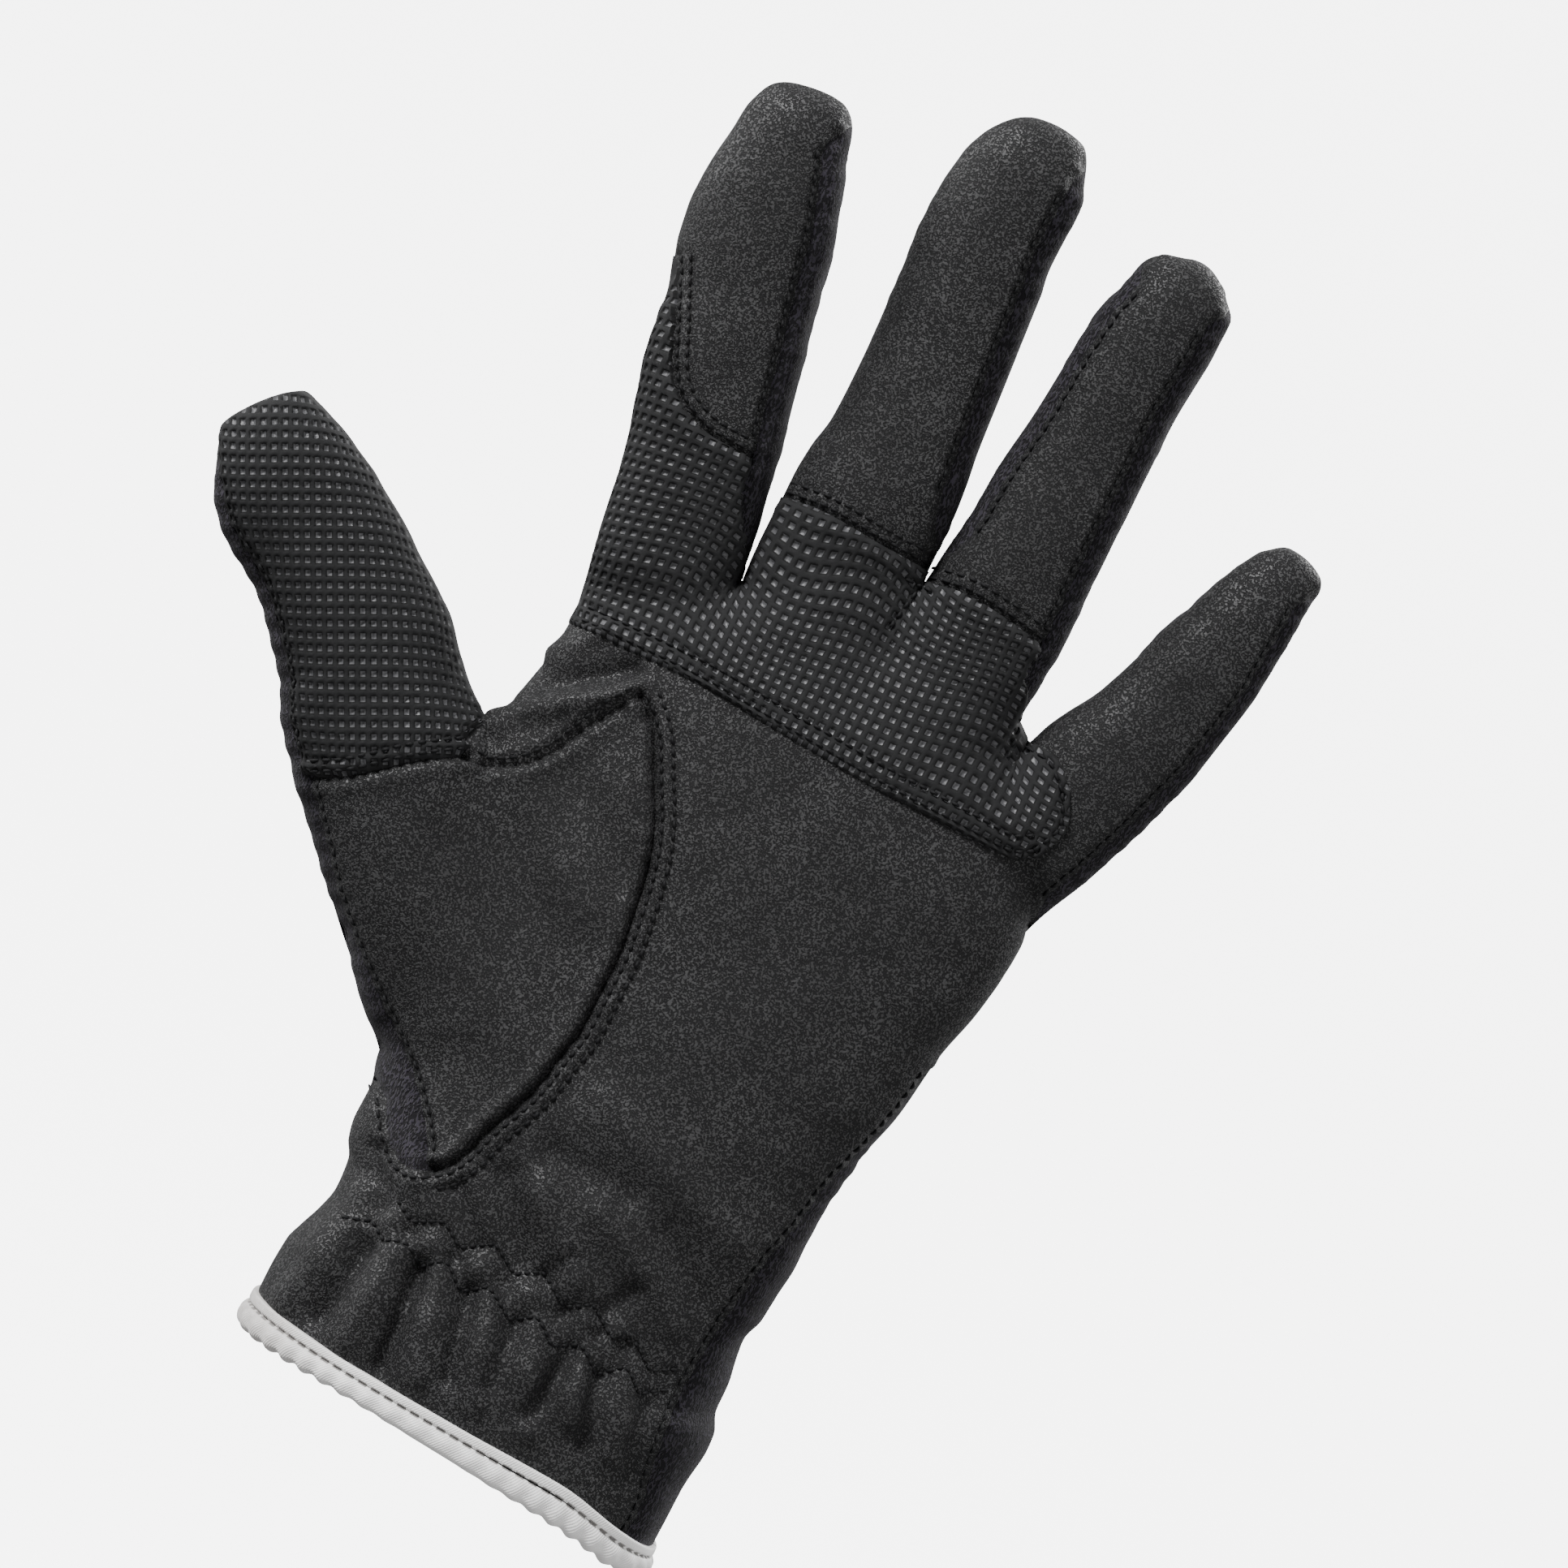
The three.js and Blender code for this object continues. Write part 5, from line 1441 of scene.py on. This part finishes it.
class GLOVE_OT_stage(bpy.types.Operator):
    """Adds the pale floor, the soft lights and the camera"""

    bl_idname = "glove.stage"
    bl_label = "Stage"
    bl_options = {"REGISTER", "UNDO"}

    def execute(self, context):
        scene = context.scene
        quarter = np.linspace(0, np.pi / 2, 24)[1:]
        radius = np.concatenate([
            [0.001, FLOOR_RADIUS], FLOOR_RADIUS * (1 + np.sin(quarter)), [2 * FLOOR_RADIUS],
        ])
        height = np.concatenate([[0, 0], FLOOR_RADIUS * (1 - np.cos(quarter)), [WALL_TOP]]) - FLOOR_DROP
        turn = np.linspace(0, 2 * np.pi, 97)[:-1]
        points = np.stack([
            radius[:, None] * np.cos(turn), radius[:, None] * np.sin(turn),
            np.broadcast_to(height[:, None], (len(radius), len(turn))),
        ], -1)
        index = np.arange(points[..., 0].size).reshape(points.shape[:2])
        ahead = np.roll(index, -1, 1)
        quads = np.stack([index[:-1], ahead[:-1], ahead[1:], index[1:]], -1).reshape(-1, 4)
        flat = points.reshape(-1, 3) / UNIT
        floor = make_mesh("floor", flat, quads[:, ::-1], flat, weld=0)
        floor.data.materials.append(material("floor"))
        floor.visible_diffuse = floor.visible_glossy = floor.visible_shadow = False

        camera = bpy.data.objects.new("camera", bpy.data.cameras.new("camera"))
        camera.data.lens, camera.data.sensor_width = CAMERA_LENS, CAMERA_SENSOR
        away = np.array(CAMERA_WAYS[2]) * VIEW_WIDTH * CAMERA_LENS / CAMERA_SENSOR
        camera.matrix_world = placed(CAMERA_WAYS, VIEW_CENTRE + away)
        scene.collection.objects.link(camera)
        scene.camera = camera

        world = bpy.data.worlds.new("studio")
        world.use_nodes = True
        sky = world.node_tree.nodes["Background"].inputs
        sky["Color"].default_value, sky["Strength"].default_value = (1, 1, 1, 1), DAYLIGHT
        scene.world = world
        for name, (spot, wide, watts) in LAMPS.items():
            lamp = bpy.data.objects.new(name, bpy.data.lights.new(name, "AREA"))
            lamp.data.size, lamp.data.energy = wide, watts
            aim = np.array(spot) / np.linalg.norm(spot)
            side_way = np.cross((0, 0, 1), aim)
            side_way /= np.linalg.norm(side_way)
            lamp.matrix_world = placed((side_way, np.cross(aim, side_way), aim), VIEW_CENTRE + spot)
            lamp.visible_camera = False
            scene.collection.objects.link(lamp)
        return {"FINISHED"}


PIECES = (
    GLOVE_OT_palm, GLOVE_OT_thumb_leather, GLOVE_OT_finger_fronts, GLOVE_OT_grip, GLOVE_OT_knit,
    GLOVE_OT_tape, GLOVE_OT_stitching, GLOVE_OT_stage,
)


class GLOVE_PT_panel(bpy.types.Panel):
    """Lists the glove's pieces, sizes and colours"""

    bl_idname = "GLOVE_PT_panel"
    bl_label = "Riding Glove"
    bl_space_type = "VIEW_3D"
    bl_region_type = "UI"
    bl_category = "Glove"

    def draw(self, context):
        column = self.layout.column()
        for piece in PIECES:
            column.operator(piece.bl_idname)
        for group in (context.scene.glove_sizes, context.scene.glove_colours):
            for name in type(group).__annotations__:
                column.prop(group, name)


CLASSES = (GloveSizes, GloveColours, *PIECES, GLOVE_PT_panel)


def register():
    """Adds the classes and the scene's settings."""
    for kind in CLASSES:
        bpy.utils.register_class(kind)
    bpy.types.Scene.glove_sizes = bpy.props.PointerProperty(type=GloveSizes)
    bpy.types.Scene.glove_colours = bpy.props.PointerProperty(type=GloveColours)


def unregister():
    """Takes the classes and settings away."""
    del bpy.types.Scene.glove_colours
    del bpy.types.Scene.glove_sizes
    for kind in reversed(CLASSES):
        bpy.utils.unregister_class(kind)


def main():
    """Makes every piece and the stage."""
    register()
    for piece in PIECES:
        group, name = piece.bl_idname.split(".")
        getattr(getattr(bpy.ops, group), name)()


if __name__ == "__main__":
    main()
